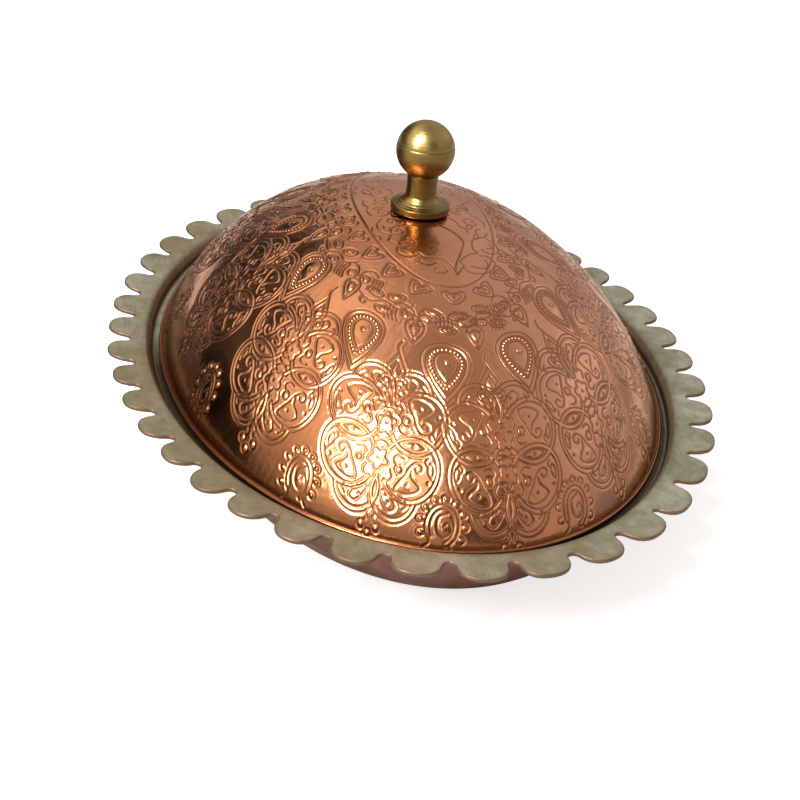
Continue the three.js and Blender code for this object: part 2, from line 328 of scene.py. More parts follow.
def lobe_quarter(plan, flip_u, flip_v, tweak):
    """Fills one lobe: a hooked leaf, a round leaf by the axis, an ivy leaf in the circle behind, a
    small leaf by the rim, and dots. tweak moves some a little, so the quarters aren't copies."""
    circles = (
        arc(LOBE_U, -LOBE_V, LOBE_R, -148, EYE_ANGLE + 17),
        arc(BACK_U, -BACK_V, BACK_R, -12, -214),
    )
    ivy = flow(
        (5.9, -13.9), (4.4, -14.9), (2.8, -13.6), (1.6, -11.6), (2.6, -10.9), (3.5, -11.7), (4.6, -11.9),
        (5.9, -13.9), closed=True,
    )
    lines = (
        flow(
            (9.9, -10.0), (7.4, -10.7), (5.1 + tweak, -10.2), (5.7, -8.4), (6.9, -6.6), (7.9, -4.6),
            (9.3, -3.4), (10.8, -3.8), (10.9, -5.0), (9.9, -5.4), (9.3, -4.7),
        ),
        flow((9.9, -10.0), (11.0, -9.0), (10.3, -7.9), (8.7, -6.7), (8.3, -5.4)),
        arc(7.9 + tweak, -8.5, 0.2),
        arc(5.2, -5.6 + tweak, 0.95),
        flow((4.5, -4.8), (3.7, -3.5), (4.7, -2.6), (6.3, -2.9)),
        flow((3.2, -6.2), (3.9, -7.6), (3.1, -8.8)),
        placed(leaf(3.4, 1.3), 13.2, -4.4 + tweak, 15),
        arc(12.9, -7.3, 0.2),
        flow((12.2, -1.9), (11.6, -2.9), (12.3, -3.8)),
        placed(ivy, u=tweak),
        arc(3.7, -13.2, 0.2),
        arc(1.9, -9.0, 0.2),
        flow((7.6, -13.9), (8.7, -12.9), (8.0, -12.0)),
    )
    for curves, layer in ((circles, "cord"), (lines, "line")):
        for curve in curves:
            draw(plan, placed(curve, flip_u=flip_u, flip_v=flip_v), layer)
    for u, v, wide, high, lift in (
        (8.0, -8.6, 2.0, 1.4, 0.1),
        (5.2, -5.6, 0.8, 0.8, 0.12),
        (3.6, -12.9, 1.4, 1.2, 0.08),
    ):
        swell(plan, flip_u * u, flip_v * v, wide, high, lift)


def flower(plan, u, v, radius, turn=-90.0):
    """Pointed petals about a dot: the outline's radius swings with them, and the middle swells."""
    angle = np.linspace(0, 2 * np.pi, 10 * PETALS + 1)
    swing = radius * (0.72 + 0.32 * np.abs(np.cos(PETALS * angle / 2)) ** 1.4)
    angle = angle + np.radians(turn)
    draw(plan, np.stack([u + swing * np.cos(angle), v + swing * np.sin(angle)], axis=1))
    draw(plan, arc(u, v, 0.22))
    swell(plan, u, v, 0.7 * radius, 0.7 * radius, 0.1)


def medallion_plan():
    """The whole medallion, about 31 mm wide and 34 mm high, with a sprig of beads at its foot."""
    plan = blank_plan(17.5, 23.5)
    for flip_u in (1, -1):
        for flip_v in (1, -1):
            lobe_quarter(plan, flip_u, flip_v, 0.25 * flip_u * flip_v - 0.1 * flip_v)
        draw(plan, placed(leaf(5.6, 2.0), flip_u * LOBE_U, 0.0, 90))
        draw(plan, arc(flip_u * LOBE_U, 0.0, 0.3))
        draw(plan, arc(flip_u * 1.9, 19.1, 0.9))
    draw_pair(
        plan,
        flow((2.0, -0.9), (0.9, -0.2), (0, 0), (-0.9, 0.2), (-2.0, 0.9)),
        flow((0.5, 14.4), (1.2, 16.0), (0.7, 17.4), (1.5, 18.5)),
    )
    swell_pair(plan, LOBE_U, 0.0, 2.2, 0.8, 0.1)
    swell_pair(plan, 1.9, 19.1, 0.75, 0.75, 0.18)
    draw(plan, arc(0, 20.7, 0.95))
    swell(plan, 0, 20.7, 0.8, 0.8, 0.2)
    flower(plan, 0.2, -4.0, 2.7)
    flower(plan, -0.3, 4.3, 2.7, turn=90.0)
    return plan


medallion = medallion_plan()
print("medallion plan:", medallion["line"].shape)

# %% [markdown]
# Between the medallions stand beaded drops, pointing at the rim: a corded outline, a row of round
# beads, and a smooth raised heart with one pearl. Bead by bead is a job for a loop, because a drop
# has under thirty of them and each is a few numbers.

# %% The beaded drop
DROP_LENGTH, DROP_WIDTH = 15.8, 10.4
BEADS = 29


def along_curve(curve, count):
    """Points at even distances along a closed curve."""
    length = lengths_along(curve)
    at = length[-1] * (np.arange(count) + 0.5) / count
    return np.stack([np.interp(at, length, curve[:, k]) for k in (0, 1)], axis=1)


def drop_plan():
    """An outline, a row of beads and an inner line, each a smaller drop nearer the head, and then
    a heart with a pearl on it."""
    plan = blank_plan(8.0, 11.0)
    draw(plan, placed(drop(DROP_LENGTH, DROP_WIDTH, 1.1), v=0.6), "cord")
    draw(plan, placed(drop(8.3, 5.4, 0.9), v=-1.0))
    for u, v in along_curve(placed(drop(11.0, 7.5, 1.0), v=-0.6), BEADS):
        swell(plan, u, v, 0.42, 0.42, 0.2)
        draw(plan, arc(u, v, 0.48), "fine")
    swell(plan, 0, -1.9, 2.2, 2.8, 0.16)
    draw(plan, arc(0.3, -2.3, 0.8, 20, 200), "fine")
    swell(plan, 0, -2.5, 0.7, 0.7, 0.3)
    return plan


beaded_drop = drop_plan()
print("drop plan:", beaded_drop["line"].shape, "with", BEADS, "beads")

# %% [markdown]
# The smaller motifs: a leaf sprig that stands in the notch above each medallion, a bud with two
# round leaves and combed feathers that hangs from the vine, three oval leaves on the vine between
# two buds, and a crescent with a fringe of beads down by the rim.

# %% Sprig, bud, vine leaves and crescent
def sprig_plan():
    """A three-pointed leaf on two stems, its tip away from the rim."""
    plan = blank_plan(6.0, 10.0)
    draw(plan, flow((0.1, -8.4), (-0.5, -6.6), (0, -5.0)))
    draw_pair(
        plan,
        flow((0, -5.0), (1.2, -2.6), (2.4, -0.2), (2.1, 1.2), (3.2, 2.0), (3.1, 3.8), (1.7, 4.6)),
        flow((0, -2.6), (1.1, -0.4), (1.0, 1.1), (0, 1.9)),
        flow((0.4, 2.0), (0.9, 4.6), (0.5, 6.4), (1.0, 8.6)),
        curl(1.9, 3.0, 1.0, 0.4, -150, 120),
    )
    swell_pair(plan, 1.9, 3.0, 0.7, 0.7, 0.2)
    swell(plan, 0, 0.0, 0.9, 1.9, 0.22)
    return plan


def bud_plan():
    """A pointed bud between two round leaves, with four combed strokes to each side."""
    plan = blank_plan(10.5, 9.0)
    draw(plan, placed(drop(7.2, 4.4, 1.1), v=3.4))
    draw(plan, placed(drop(3.6, 2.2, 1.1), v=3.0))
    draw(plan, arc(0, 5.9, 0.2))
    draw(plan, flow((-1.6, 1.2), (0, 2.0), (1.6, 1.2)))
    draw_pair(plan, curl(2.5, -0.9, 1.8, 0.6, -200, 150))
    draw_pair(plan, flow((0.3, -1.2), (1.4, -3.6), (3.6, -4.4), (5.4, -3.2)))
    for stroke in range(4):
        knots = (4.6 + 0.9 * stroke, -2.4), (5.0 + 0.9 * stroke, -0.4), (4.4 + 1.0 * stroke, 1.6)
        draw_pair(plan, flow(*knots))
    swell(plan, 0, 2.4, 1.3, 1.6, 0.25)
    swell_pair(plan, 2.5, -0.9, 1.0, 1.0, 0.22)
    return plan


def vine_plan():
    """Two oval leaves above a waving stem, one below it, and a curl at each end."""
    plan = blank_plan(8.5, 6.0)
    draw(plan, flow((-7.5, -1.0), (-4.0, 0.8), (0, -0.6), (4.0, 0.8), (7.5, -1.0)))
    for u, v, turn in ((-2.9, -2.4, 15), (2.9, -2.4, -15), (0.3, 2.2, 0)):
        draw(plan, placed(arc(0, 0, 2.3, squash=0.55), u, v, turn))
        draw(plan, placed(arc(0, 0, 1.2, squash=0.5), u, v, turn))
        swell(plan, u, v, 1.9, 1.0, 0.2, turn)
    draw_pair(plan, curl(5.4, 1.6, 1.3, 0.4, -120, 200))
    return plan


def crescent_plan():
    """A tall oval that opens towards the rim, a hooked leaf inside it, and beads standing off it."""
    plan = blank_plan(8.0, 8.0)
    draw(plan, arc(0, 0.4, 3.1, -215, 62, squash=1.4), "cord")
    draw(plan, flow((0.9, -2.6), (-1.0, -1.4), (-0.9, 1.4), (0.7, 2.7), (2.0, 1.2), (1.3, -0.6), (0.3, 0.4)))
    swell(plan, 0.2, 0.9, 0.9, 1.5, 0.12)
    draw_pair(plan, flow((2.8, 3.0), (2.2, 4.4), (3.2, 5.8)))
    for bead in range(9):
        way = np.radians(-205 + 230 * bead / 8)
        u, v = 4.9 * np.cos(way), 0.2 + 6.0 * np.sin(way)
        swell(plan, u, v, 0.62, 0.62, 0.26)
        draw(plan, arc(u, v, 0.8, np.degrees(way) - 120, np.degrees(way) + 120))
    return plan


sprig, bud, vine, crescent = sprig_plan(), bud_plan(), vine_plan(), crescent_plan()
print("small plans:", [plan["line"].shape for plan in (sprig, bud, vine, crescent)])

# %% [markdown]
# Round the knob lies a long oval field. Its border is a single strong line with a row of small
# leaves outside it, and inside it a plain leaf lies to each side of the knob, among scrolls. This
# plan is seen straight from above, because the crown is nearly flat.

# %% The crown field
FIELD_U, FIELD_V = -4.0, 1.2  # the field's middle, off the knob as the hand drew it
FIELD_A, FIELD_B = 39.6, 16.8
LEAF_ROW = 3.3  # from the border out to the middle of the leaves
LEAVES = 23
LEAF_START = 0.737  # share of the way round where the first leaf stands


def field_ring(offset, count, start=0.0):
    """Points and outward angles at even distances round the field's oval, moved out by offset."""
    fine = np.radians(np.linspace(0, 360, 721))
    length = lengths_along(on_oval(FIELD_A + offset, FIELD_B + offset, fine))
    at = length[-1] * ((start + np.arange(count) / count) % 1)
    angle = np.interp(at, length, fine)
    out = np.degrees(np.arctan2(np.sin(angle) / FIELD_B, np.cos(angle) / FIELD_A))
    return (FIELD_U, FIELD_V) + on_oval(FIELD_A + offset, FIELD_B + offset, angle), out


def scroll_end(plan, flip_u, tweak):
    """Half of the field, u counted from its middle: a plain leaf between an arched and a hooked
    line, a cusped frame with lobes on one side of it, and scrolls and small leaves all round. tweak
    moves the loose scrolls a little, one way or the other, so the two ends aren't copies."""
    strong = (
        flow((12.7, 2.7), (16.4, 6.0), (21.0, 7.5), (26.5, 5.5), (31.0, 3.5), (35.0, 3.0)),
        flow(
            (14.0, 15.5), (16.5, 14.0), (19.0, 10.5), (23.5, 9.5), (25.2, 10.3), (26.0, 8.5), (27.6, 6.4),
            (29.6, 4.9), (31.0, 5.6), (32.6, 4.6), (35.0, 3.0),
        ),
        flow((26.0, -4.6), (27.8, -3.4), (28.4, -0.4), (30.2, 1.8), (32.6, 2.7), (35.0, 3.0)),
    )
    fixed = (
        flow((17.5, 14.5), (18.6, 16.0), (21.0, 16.6), (23.8, 15.6), (24.6, 13.4), (23.2, 11.8)),
        flow((26.3, 10.5), (26.2, 12.6), (28.4, 14.0), (31.4, 12.8), (33.6, 9.8), (33.8, 6.6), (32.4, 5.6)),
        flow((28.0, 11.6), (30.0, 11.9), (31.6, 10.2), (31.2, 7.4)),
        flow((19.6, 14.6), (21.6, 14.8), (22.4, 13.2)),
        flow((27.2, -4.2), (29.4, -4.8), (30.8, -3.0), (30.0, -1.2)),
        flow((31.2, 0.6), (33.4, 0.9), (34.4, -0.6), (33.4, -2.2), (32.0, -1.6)),
        flow((22.5, -9.0), (24.4, -9.6), (26.2, -8.8), (27.4, -6.8), (26.6, -5.4)),
        flow((0.0, 14.0), (2.4, 12.8), (5.2, 14.6), (7.6, 16.0), (10.6, 15.8)),
        flow((0.0, -12.6), (2.6, -13.4), (5.6, -12.8)),
        flow((11.6, -13.6), (13.8, -14.0), (16.4, -12.8), (18.4, -12.6)),
        flow((12.4, 13.8), (13.8, 12.4), (15.6, 12.6)),
    )
    loose = [
        flow((8.0, -10.4), (11.0, -12.4), (14.4, -12.0), (16.8, -10.0), (19.4, -10.8), (21.2, -9.4)),
        flow((19.0, -6.4), (21.0, -4.6), (23.4, -5.2), (24.2, -7.0)),
        curl(15.6, -7.6, 2.3, 0.5, -160, 260),
        curl(9.6, 12.4, 2.5, 0.5, 150, 560),
        curl(4.4, -9.8, 2.3, 0.5, -30, 380),
        curl(6.0, -6.0, 1.9, 0.5, 210, 560),
        flow((8.2, -5.4), (10.4, -5.2), (12.6, -6.0), (13.2, -8.0)),
        curl(6.4, 6.2, 1.8, 0.4, 160, 520),
        flow((8.4, 6.6), (10.2, 8.2), (12.4, 8.4), (13.6, 9.9), (15.6, 9.9)),
    ]
    small_leaves = (
        (12.2, 11.2, 60), (1.0, 11.8, 20), (17.2, 11.8, 75), (13.4, -10.2, 110), (21.8, -7.4, 40),
        (1.4, -10.2, 20),
    )
    loose += [placed(leaf(3.0, 1.4), u, v, turn) for u, v, turn in small_leaves]
    loose_back = (
        curl(10.2, -8.4, 2.0, 0.5, 30, 400),
        curl(3.4, 9.6, 2.1, 0.4, 30, -380),
        flow((0.6, -7.6), (2.0, -6.4), (3.6, -6.9), (4.1, -5.6)),
        flow((0.4, 7.0), (1.8, 5.8), (3.6, 6.4), (4.4, 7.6)),
    )
    for curves, layer, shift in (
        (strong, "line", 0.0), (fixed, "fine", 0.0), (loose, "fine", tweak), (loose_back, "fine", -tweak),
    ):
        for curve in curves:
            draw(plan, placed(curve, FIELD_U, shift, flip_u=flip_u), layer)


def crown_plan():
    """Border, leaf row and scrolls, with u along the dish and v across it."""
    plan = blank_plan(50.0, 26.0)
    border, _ = field_ring(0.0, 240)
    draw(plan, np.vstack([border, border[:1]]))
    outline = flow(
        (-3.1, -1.4), (-1.6, -2.0), (0, -1.3), (1.6, -2.0), (3.1, -1.4), (2.2, 0.9), (0.3, 2.6), (-2.0, 1.0),
        (-3.1, -1.4), closed=True,
    )
    spots, ways = field_ring(LEAF_ROW, LEAVES, LEAF_START)
    for (u, v), way in zip(spots, ways):
        draw(plan, placed(outline, u, v, way - 90, 0.95))
        draw(plan, placed(outline, u, v, way - 90, 0.54), "fine")
        draw(plan, arc(u, v, 0.25), "fine")
        swell(plan, u, v, 1.9, 1.3, 0.07, way - 90)
    scroll_end(plan, 1, 0.0)
    scroll_end(plan, -1, 0.7)
    return plan


crown = crown_plan()
print("crown plan:", crown["line"].shape, "with", LEAVES, "leaves round the field")

# %% [markdown]
# A plan becomes metal through one profile. A plain line is a groove with a rounded bottom. A corded
# line is a raised strand with a groove along each side. Swells stand between them. Cuts and rises
# are kept apart, so where two motifs meet the deeper cut and the higher rise win.

# %% Punch marks
GROOVE_DEPTH = 0.14
GROOVE_HALF = 0.26
FINE_DEPTH = 0.135
FINE_HALF = 0.23
CORD_HALF = 0.54  # from a cord's middle to the grooves beside it
CORD_RISE = 0.06
SHOULDER_RISE = 0.03
SHOULDER_AT = 0.6


def bell(distance, width):
    """exp(-(distance / width) ** 2)."""
    return np.exp(-((distance / width) ** 2))


def punched(plan):
    """Adds the tables "cut" (below zero) and "rise" (above zero) to a plan, in millimetres."""
    grooves = np.maximum(bell(plan["line"], GROOVE_HALF), bell(plan["cord"] - CORD_HALF, GROOVE_HALF))
    plan["cut"] = -np.maximum(GROOVE_DEPTH * grooves, FINE_DEPTH * bell(plan["fine"], FINE_HALF))
    shoulders = SHOULDER_RISE * bell(plan["line"] - SHOULDER_AT, GROOVE_HALF)
    strands = CORD_RISE * bell(plan["cord"], GROOVE_HALF)
    plan["rise"] = np.maximum(np.maximum(plan["swell"], strands), shoulders)
    return plan


for motif in (medallion, beaded_drop, sprig, bud, vine, crescent, crown):
    punched(motif)
print("deepest cut", medallion["cut"].min(), "highest rise", beaded_drop["rise"].max())

# %% [markdown]
# Now the sheet itself: 375 rows from the screw hole to the foot and 1800 columns, under 0.3 mm
# apart, so that a line 0.5 mm wide keeps its shape. Twelve medallions stand round the skirt at
# even angles, a little higher on the two long sides. The smaller motifs were drawn from the long
# crown field outwards, so they are pulled together towards the dish's two ends.

# %% The lid's grid and where the motifs stand
ROWS = 375
COLUMNS = 1800
FOLD = 12  # medallions round the lid
FIRST_TURN = 0.105  # angle of the first one, from the dish's long axis
share = np.linspace(0, 1, ROWS)
turn = 2 * np.pi * np.arange(COLUMNS) / COLUMNS
spread = spread_at(share)
smooth_lid = dome_points(spread[:, None], turn[None, :])
cut = np.zeros((ROWS, COLUMNS))
rise = np.zeros((ROWS, COLUMNS))


def lookup(table, plan, u, v):
    """The table's value at (u, v), from the four plan points around it, and 0 outside the plan."""
    x = (u - plan["u"][0]) / PLAN_STEP
    y = (v - plan["v"][0]) / PLAN_STEP
    high, wide = table.shape
    left = np.clip(np.floor(x).astype(int), 0, wide - 2)
    upper = np.clip(np.floor(y).astype(int), 0, high - 2)
    fx, fy = x - left, y - upper
    value = (table[upper, left] * (1 - fx) + table[upper, left + 1] * fx) * (1 - fy)
    value = value + (table[upper + 1, left] * (1 - fx) + table[upper + 1, left + 1] * fx) * fy
    return value * ((x >= 0) & (x <= wide - 1) & (y >= 0) & (y <= high - 1))


def ring_travel(at_turn, at_share):
    """Millimetres that one radian of turn covers on the ring at that share of the slope."""
    half_a = BORE + (FOOT_A - BORE) * spread_at(at_share)
    half_b = BORE + (FOOT_B - BORE) * spread_at(at_share)
    return np.hypot(half_a * np.sin(at_turn), half_b * np.cos(at_turn))


def stamp(plan, at_turn, at_share, tilt=0.0, wide=1.0, high=1.0):
    """Puts a motif on the sheet. u is the angle from at_turn times the ring's radius of travel, and
    v is the share from at_share times the length of the slope, so sizes stay true on the metal,
    unless wide and high stretch the motif."""
    length = slope_length(at_turn)
    reach = max(wide, high) * float(np.hypot(plan["u"][-1], plan["v"][-1]))
    rows = np.nonzero(np.abs(share - at_share) * length < reach)[0]
    travel = ring_travel(at_turn, share[rows])
    away = (turn - at_turn + np.pi) % (2 * np.pi) - np.pi
    columns = np.nonzero(np.abs(away) * travel.mean() < 1.3 * reach)[0]
    along = away[None, columns] * travel[:, None]
    down = ((share[rows] - at_share) * length)[:, None]
    c, s = np.cos(np.radians(tilt)), np.sin(np.radians(tilt))
    u, v = (c * along + s * down) / wide, (c * down - s * along) / high
    block = np.ix_(rows, columns)
    cut[block] = np.minimum(cut[block], lookup(plan["cut"], plan, u, v))
    rise[block] = np.maximum(rise[block], lookup(plan["rise"], plan, u, v))


def stand(plan, half_step, pull, middle, swing, wobble, room=None):
    """A motif at all its places: angles even but for a pull towards the long axis's ends, and the
    share of the slope swinging with the oval. wobble tilts each a few degrees, as a hand would. With
    room, a motif is made narrower and taller where its neighbours stand closer than that."""
    for place in range(FOLD):
        even = FIRST_TURN + 2 * np.pi * (place + half_step) / FOLD
        at_turn = even - pull * np.sin(2 * (even - FIRST_TURN))
        at_share = middle + swing * np.cos(2 * at_turn)
        wide = high = 1.0
        if room:
            wide = np.clip(ring_travel(at_turn, at_share) * 2 * np.pi / FOLD / room, 0.84, 1.04)
            high = 1.02 + 0.5 * (1 - wide)
        stamp(plan, at_turn, at_share, wobble * np.sin(2.4 * place + 1.0), wide, high)


stand(medallion, 0.0, 0.025, 0.722, 0.073, 3.0, room=33.0)
stand(beaded_drop, 0.5, 0.075, 0.505, 0.072, 7.0)
stand(sprig, 0.0, 0.045, 0.538, 0.076, 6.0)
stand(bud, 0.0, 0.15, 0.372, 0.078, 5.0)
stand(vine, 0.5, 0.15, 0.372, 0.066, 8.0)
stand(crescent, 0.5, 0.0, 0.925, 0.022, 10.0)
near_crown = slice(0, int(0.66 * ROWS))
crown_u, crown_v = smooth_lid[near_crown, :, 0], smooth_lid[near_crown, :, 1]
cut[near_crown] = np.minimum(cut[near_crown], lookup(crown["cut"], crown, crown_u, crown_v))
rise[near_crown] = np.maximum(rise[near_crown], lookup(crown["rise"], crown, crown_u, crown_v))
print(f"share of the sheet that is grooved: {np.mean(cut < -GROOVE_DEPTH / 2):.2f}")

# %% [markdown]
# The relief moves each point along the sheet's own normal. A dome that was raised with a hammer is
# never quite even either: slow waves of a tenth of a millimetre bend the reflections, and punching
# leaves the plain ground slightly pillowed. Over its last nine millimetres the foot is beaten out
# towards the lip, a little more on one side, and the lip is a narrow bead with a groove behind it.
# The foot's last rows and the lip are painted dark brown, painted shade where the lid meets the
# dish. Low down on another side the skirt is coloured darker.

# %% Relief, unevenness and the lip
FLARE = 1.4 + 0.25 * np.sin(turn)  # how far the foot is beaten out
FLARE_HEIGHT = 9.0  # above the lip's top, where that starts
SHEET_WAVES, GROUND_PILLOWS = 0.09, 0.009
FOOT_SHADE_ROWS = 4  # rows above the lip painted darker towards it, painted shade
# The skirt is coloured darker low down round this turn.
DARK_SIDE_TURN, DARK_SIDE_FROM, DARK_SIDE_FULL = 5.25, 0.8, 0.92  # its middle, and shares of the slope
LIP_WIDTH = 2.2
LIP_TOP_PATH = (  # share of the way from the foot to the lip's edge, and height: groove, bead, edge
    (0.1, 20.98), (0.22, 21.02), (0.38, 21.18), (0.58, 21.28), (0.8, 21.2), (0.94, 21.0), (1.0, 20.8),
)
LIP_UNDER_PATH = ((2.14, 20.56), (1.9, 20.4), (-0.38, 20.4))  # out from the dome's foot, and height
LIP_SHADE = (0.8, 0.75, 0.6, 0.5, 0.45, 0.55, 0.8, 1.0, 1.0, 1.0)  # painted shade: how dark brown each of those rings is painted


def turned_normals(points):
    """Unit normals of a grid: the step to the next row crossed with the step to the next column."""
    down = np.gradient(points, axis=0)
    around = np.roll(points, -1, axis=1) - np.roll(points, 1, axis=1)
    normal = np.cross(down, around)
    return normal / np.linalg.norm(normal, axis=-1, keepdims=True)


def hand_waves(x, y, size):
    """A sum of slow sines in x and y, about size millimetres high."""
    waves = np.sin(x / 6.3 + 0.8) * np.sin(y / 7.1 + 2.1) + 0.8 * np.sin((x + 1.6 * y) / 5.2 + 0.5)
    return size * (waves + 0.6 * np.sin((1.4 * x - y) / 3.9 + 4.0)) / 2


flare = FLARE * np.clip(1 - (smooth_lid[..., 2] - LIP_TOP) / FLARE_HEIGHT, 0, 1) ** 1.5
smooth_lid[..., :2] += flare[..., None] * on_oval(1, 1, turn)
outward = turned_normals(smooth_lid)
fade_in = np.clip(share / 0.05, 0, 1)[:, None]
pillows = np.sin(smooth_lid[..., 0] / 0.47 + 2 * np.sin(smooth_lid[..., 1] / 2.9))
pillows = pillows * np.sin(smooth_lid[..., 1] / 0.53 + 2 * np.sin(smooth_lid[..., 0] / 3.3))
unevenness = hand_waves(smooth_lid[..., 0], smooth_lid[..., 1], SHEET_WAVES)
lift = fade_in * (cut + rise + GROUND_PILLOWS * pillows + unevenness)
lip_outs = [(FLARE + (LIP_WIDTH - FLARE) * part, height) for part, height in LIP_TOP_PATH]
lip_rows = [
    at_height(on_oval(FOOT_A + out, FOOT_B + out, turn), height)
    for out, height in (*lip_outs, *LIP_UNDER_PATH)
]
lid_skin = np.concatenate([smooth_lid + outward * lift[..., None], np.array(lip_rows)])
# Soot stays in the punched grooves. The foot's last rows and the lip's rings are painted dark brown too:
# painted shade where the lid meets the dish.
lid_soot_and_foot_shade = np.concatenate([-cut / GROOVE_DEPTH, np.zeros((len(lip_rows), COLUMNS))])
foot_rows = slice(ROWS - FOOT_SHADE_ROWS, ROWS)
foot_shade = np.linspace(0.1, 0.75, FOOT_SHADE_ROWS)[:, None]
lid_soot_and_foot_shade[foot_rows] = np.maximum(lid_soot_and_foot_shade[foot_rows], foot_shade)
lid_soot_and_foot_shade[ROWS:] = np.array(LIP_SHADE)[:, None]
# Darker colour low on one side of the skirt.
down_the_skirt = np.clip((share - DARK_SIDE_FROM) / (DARK_SIDE_FULL - DARK_SIDE_FROM), 0, 1)
down_the_skirt = np.append(down_the_skirt, np.ones(len(lip_rows)))[:, None]
lid_low_side_dark = down_the_skirt * np.clip(1.5 * np.cos(turn - DARK_SIDE_TURN) - 0.5, 0, 1)
print("lid skin:", lid_skin.shape)

# %% [markdown]
# That is too many points for one mesh that others can still open easily, so the copper skin is cut
# into seven closed bands, and the two by the crown, where columns would crowd, keep every second
# column. At each border both bands have the very same points and normals, so no seam shows. A
# normal that is given point by point needs Blender's custom normals, set per face corner.

# %% Bands of the chased skin
BAND_ENDS = (75, 150, 200, 248, 296, 344)  # rows where one band ends and the next begins
HALVED = 150  # up to this row the bands keep every second column
BACK_COLUMNS = 180
BACK_ROWS = 12
HALF_SHEET = SHEET / 2

lid_normals = turned_normals(lid_skin)
for grid in (lid_skin, lid_normals):
    grid[HALVED, 1::2] = (grid[HALVED, 0::2] + np.roll(grid[HALVED, 0::2], -1, axis=0)) / 2


def wall_faces(ring, columns, back, outwards):
    """Faces that join a fine ring to a coarse one: each takes one coarse stretch and all the fine
    points beside it."""
    ratio = columns // BACK_COLUMNS
    stretch = np.arange(BACK_COLUMNS)[:, None]
    front = ring + (stretch * ratio + np.arange(ratio + 1)) % columns
    behind = back + np.concatenate([(stretch + 1) % BACK_COLUMNS, stretch], axis=1)
    face = np.concatenate([front, behind], axis=1)
    return face[:, ::-1] if outwards else face


def lid_band(name, first, last, every=1):
    """A closed band of the skin: the fine front, a coarse back in the middle of the sheet, and a
    wall along each border."""
    columns = COLUMNS // every
    front = lid_skin[first : last + 1, ::every].reshape(-1, 3)
    picked = np.linspace(share[first], share[min(last, ROWS - 1)], BACK_ROWS)[:, None]
    back_turn = 2 * np.pi * np.arange(BACK_COLUMNS)[None, :] / BACK_COLUMNS
    back = dome_points(spread_at(picked), back_turn, HALF_SHEET).reshape(-1, 3)
    back_start = len(front)
    faces = [
        grid_faces(last - first + 1, columns),
        grid_faces(BACK_ROWS, BACK_COLUMNS, back_start)[:, ::-1],
        wall_faces(0, columns, back_start, False),
        wall_faces((last - first) * columns, columns, back_start + (BACK_ROWS - 1) * BACK_COLUMNS, True),
    ]
    band = build_piece(name, np.concatenate([front, back]), faces, (True, False, False, False))
    for label, values in (("soot_and_foot_shade", lid_soot_and_foot_shade), ("darkening", lid_low_side_dark)):
        shown = values[first : last + 1, ::every].ravel()
        add_value(band, label, np.append(shown, np.zeros(len(back))))
    front_normals = lid_normals[first : last + 1, ::every].reshape(-1, 3)
    corner_normals = np.zeros((len(band.data.loops), 3))
    corner_normals[: faces[0].size] = front_normals[faces[0].ravel()]
    band.data.normals_split_custom_set(corner_normals)
    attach(band, "lid")
    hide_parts("lid_dome")
    return band


band_names = (
    "lid_crown_field", "lid_bud_band", "lid_drop_band", "lid_medallion_tops", "lid_medallion_middles",
    "lid_medallion_feet", "lid_skirt_and_lip",
)
lid_bands = []
for name, first, last in zip(band_names, (0, *BAND_ENDS), (*BAND_ENDS, len(lid_skin) - 1)):
    lid_bands.append(lid_band(name, first, last, 2 if last <= HALVED else 1))
print("bands:", len(lid_bands))

# %% [markdown]
# Copper taints food, so the inside of such a lid is tinned. It is a piece of its own here, a thin
# closed shell under the skin, and the punched lines show through it as soft ridges.

# %% The tinned lining
LINING_COLUMNS = 360
LINING_ROWS = 100
BACKING_ROWS = 14
SHOWN_THROUGH = 0.7  # of the outer relief


def lining_points():
    """Rows out along the middle of the sheet, under its foot, and back up along the inner face.
    The inner face is pushed in where the outer face is grooved, by the relief averaged around."""
    around = 2 * np.pi * np.arange(LINING_COLUMNS)[None, :] / LINING_COLUMNS
    out_share = np.linspace(0, 1, BACKING_ROWS)[:, None]
    outer = dome_points(spread_at(out_share), around, HALF_SHEET)
    in_share = np.linspace(1, 0, LINING_ROWS)[:, None]
    inner = dome_points(spread_at(in_share), around, SHEET)
    soft = cut + rise
    for axis in (0, 1):
        soft = sum(np.roll(soft, shift, axis=axis) for shift in range(-2, 3)) / 5
    near_rows = np.round(in_share[:, 0] * (ROWS - 1)).astype(int)
    pushed = soft[near_rows][:, :: COLUMNS // LINING_COLUMNS]
    inward = turned_normals(inner[::-1])[::-1]
    inner = inner + inward * (SHOWN_THROUGH * pushed * np.clip(in_share * 12, 0, 1))[..., None]
    foot = outer[-1:].copy()
    foot[..., 2] = LIP_TOP - SHEET
    return np.concatenate([outer, foot, inner])


lining_grid = lining_points()
lining_faces = grid_faces(len(lining_grid), LINING_COLUMNS, joined=True)
lid_lining = build_piece("lid_tinned_lining", lining_grid.reshape(-1, 3), [lining_faces], [True])
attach(lid_lining, "lid")
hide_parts("lid_dome")
add_value(lid_lining, "aged_except_lit_ledge", np.full(len(lid_lining.data.vertices), 0.4))

# %% [markdown]
# The dish is pressed and hammered from one copper disc. Its cross-section is a path of insets from
# the tip oval and heights: a flat floor, a bellied wall, a level ledge for the lid, a low step that
# is steep at its foot and round at its shoulder, and a flange that is almost level. The underside
# follows the same path one millimetre below, and under the step it also lies further out, so the
# sheet keeps its thickness.

# %% Cross-section of the dish
DISH_SHEET = 1.0
FLANGE_WIDTH = 9.5
FLANGE_RISE = 0.2
LEDGE_Z = 20.1
STEP_ROWS = 12
STEP_SHIFT = 0.4  # the step's underside lies this much further out
STEP_POWER = 0.7  # below 1 the step is steeper at its foot
LEDGE_OUT, LEDGE_IN = 11.8, 17.3  # insets of the ledge's outer and inner edges
WALL_LEAN = 14.7
WALL_FULLNESS = 1.5


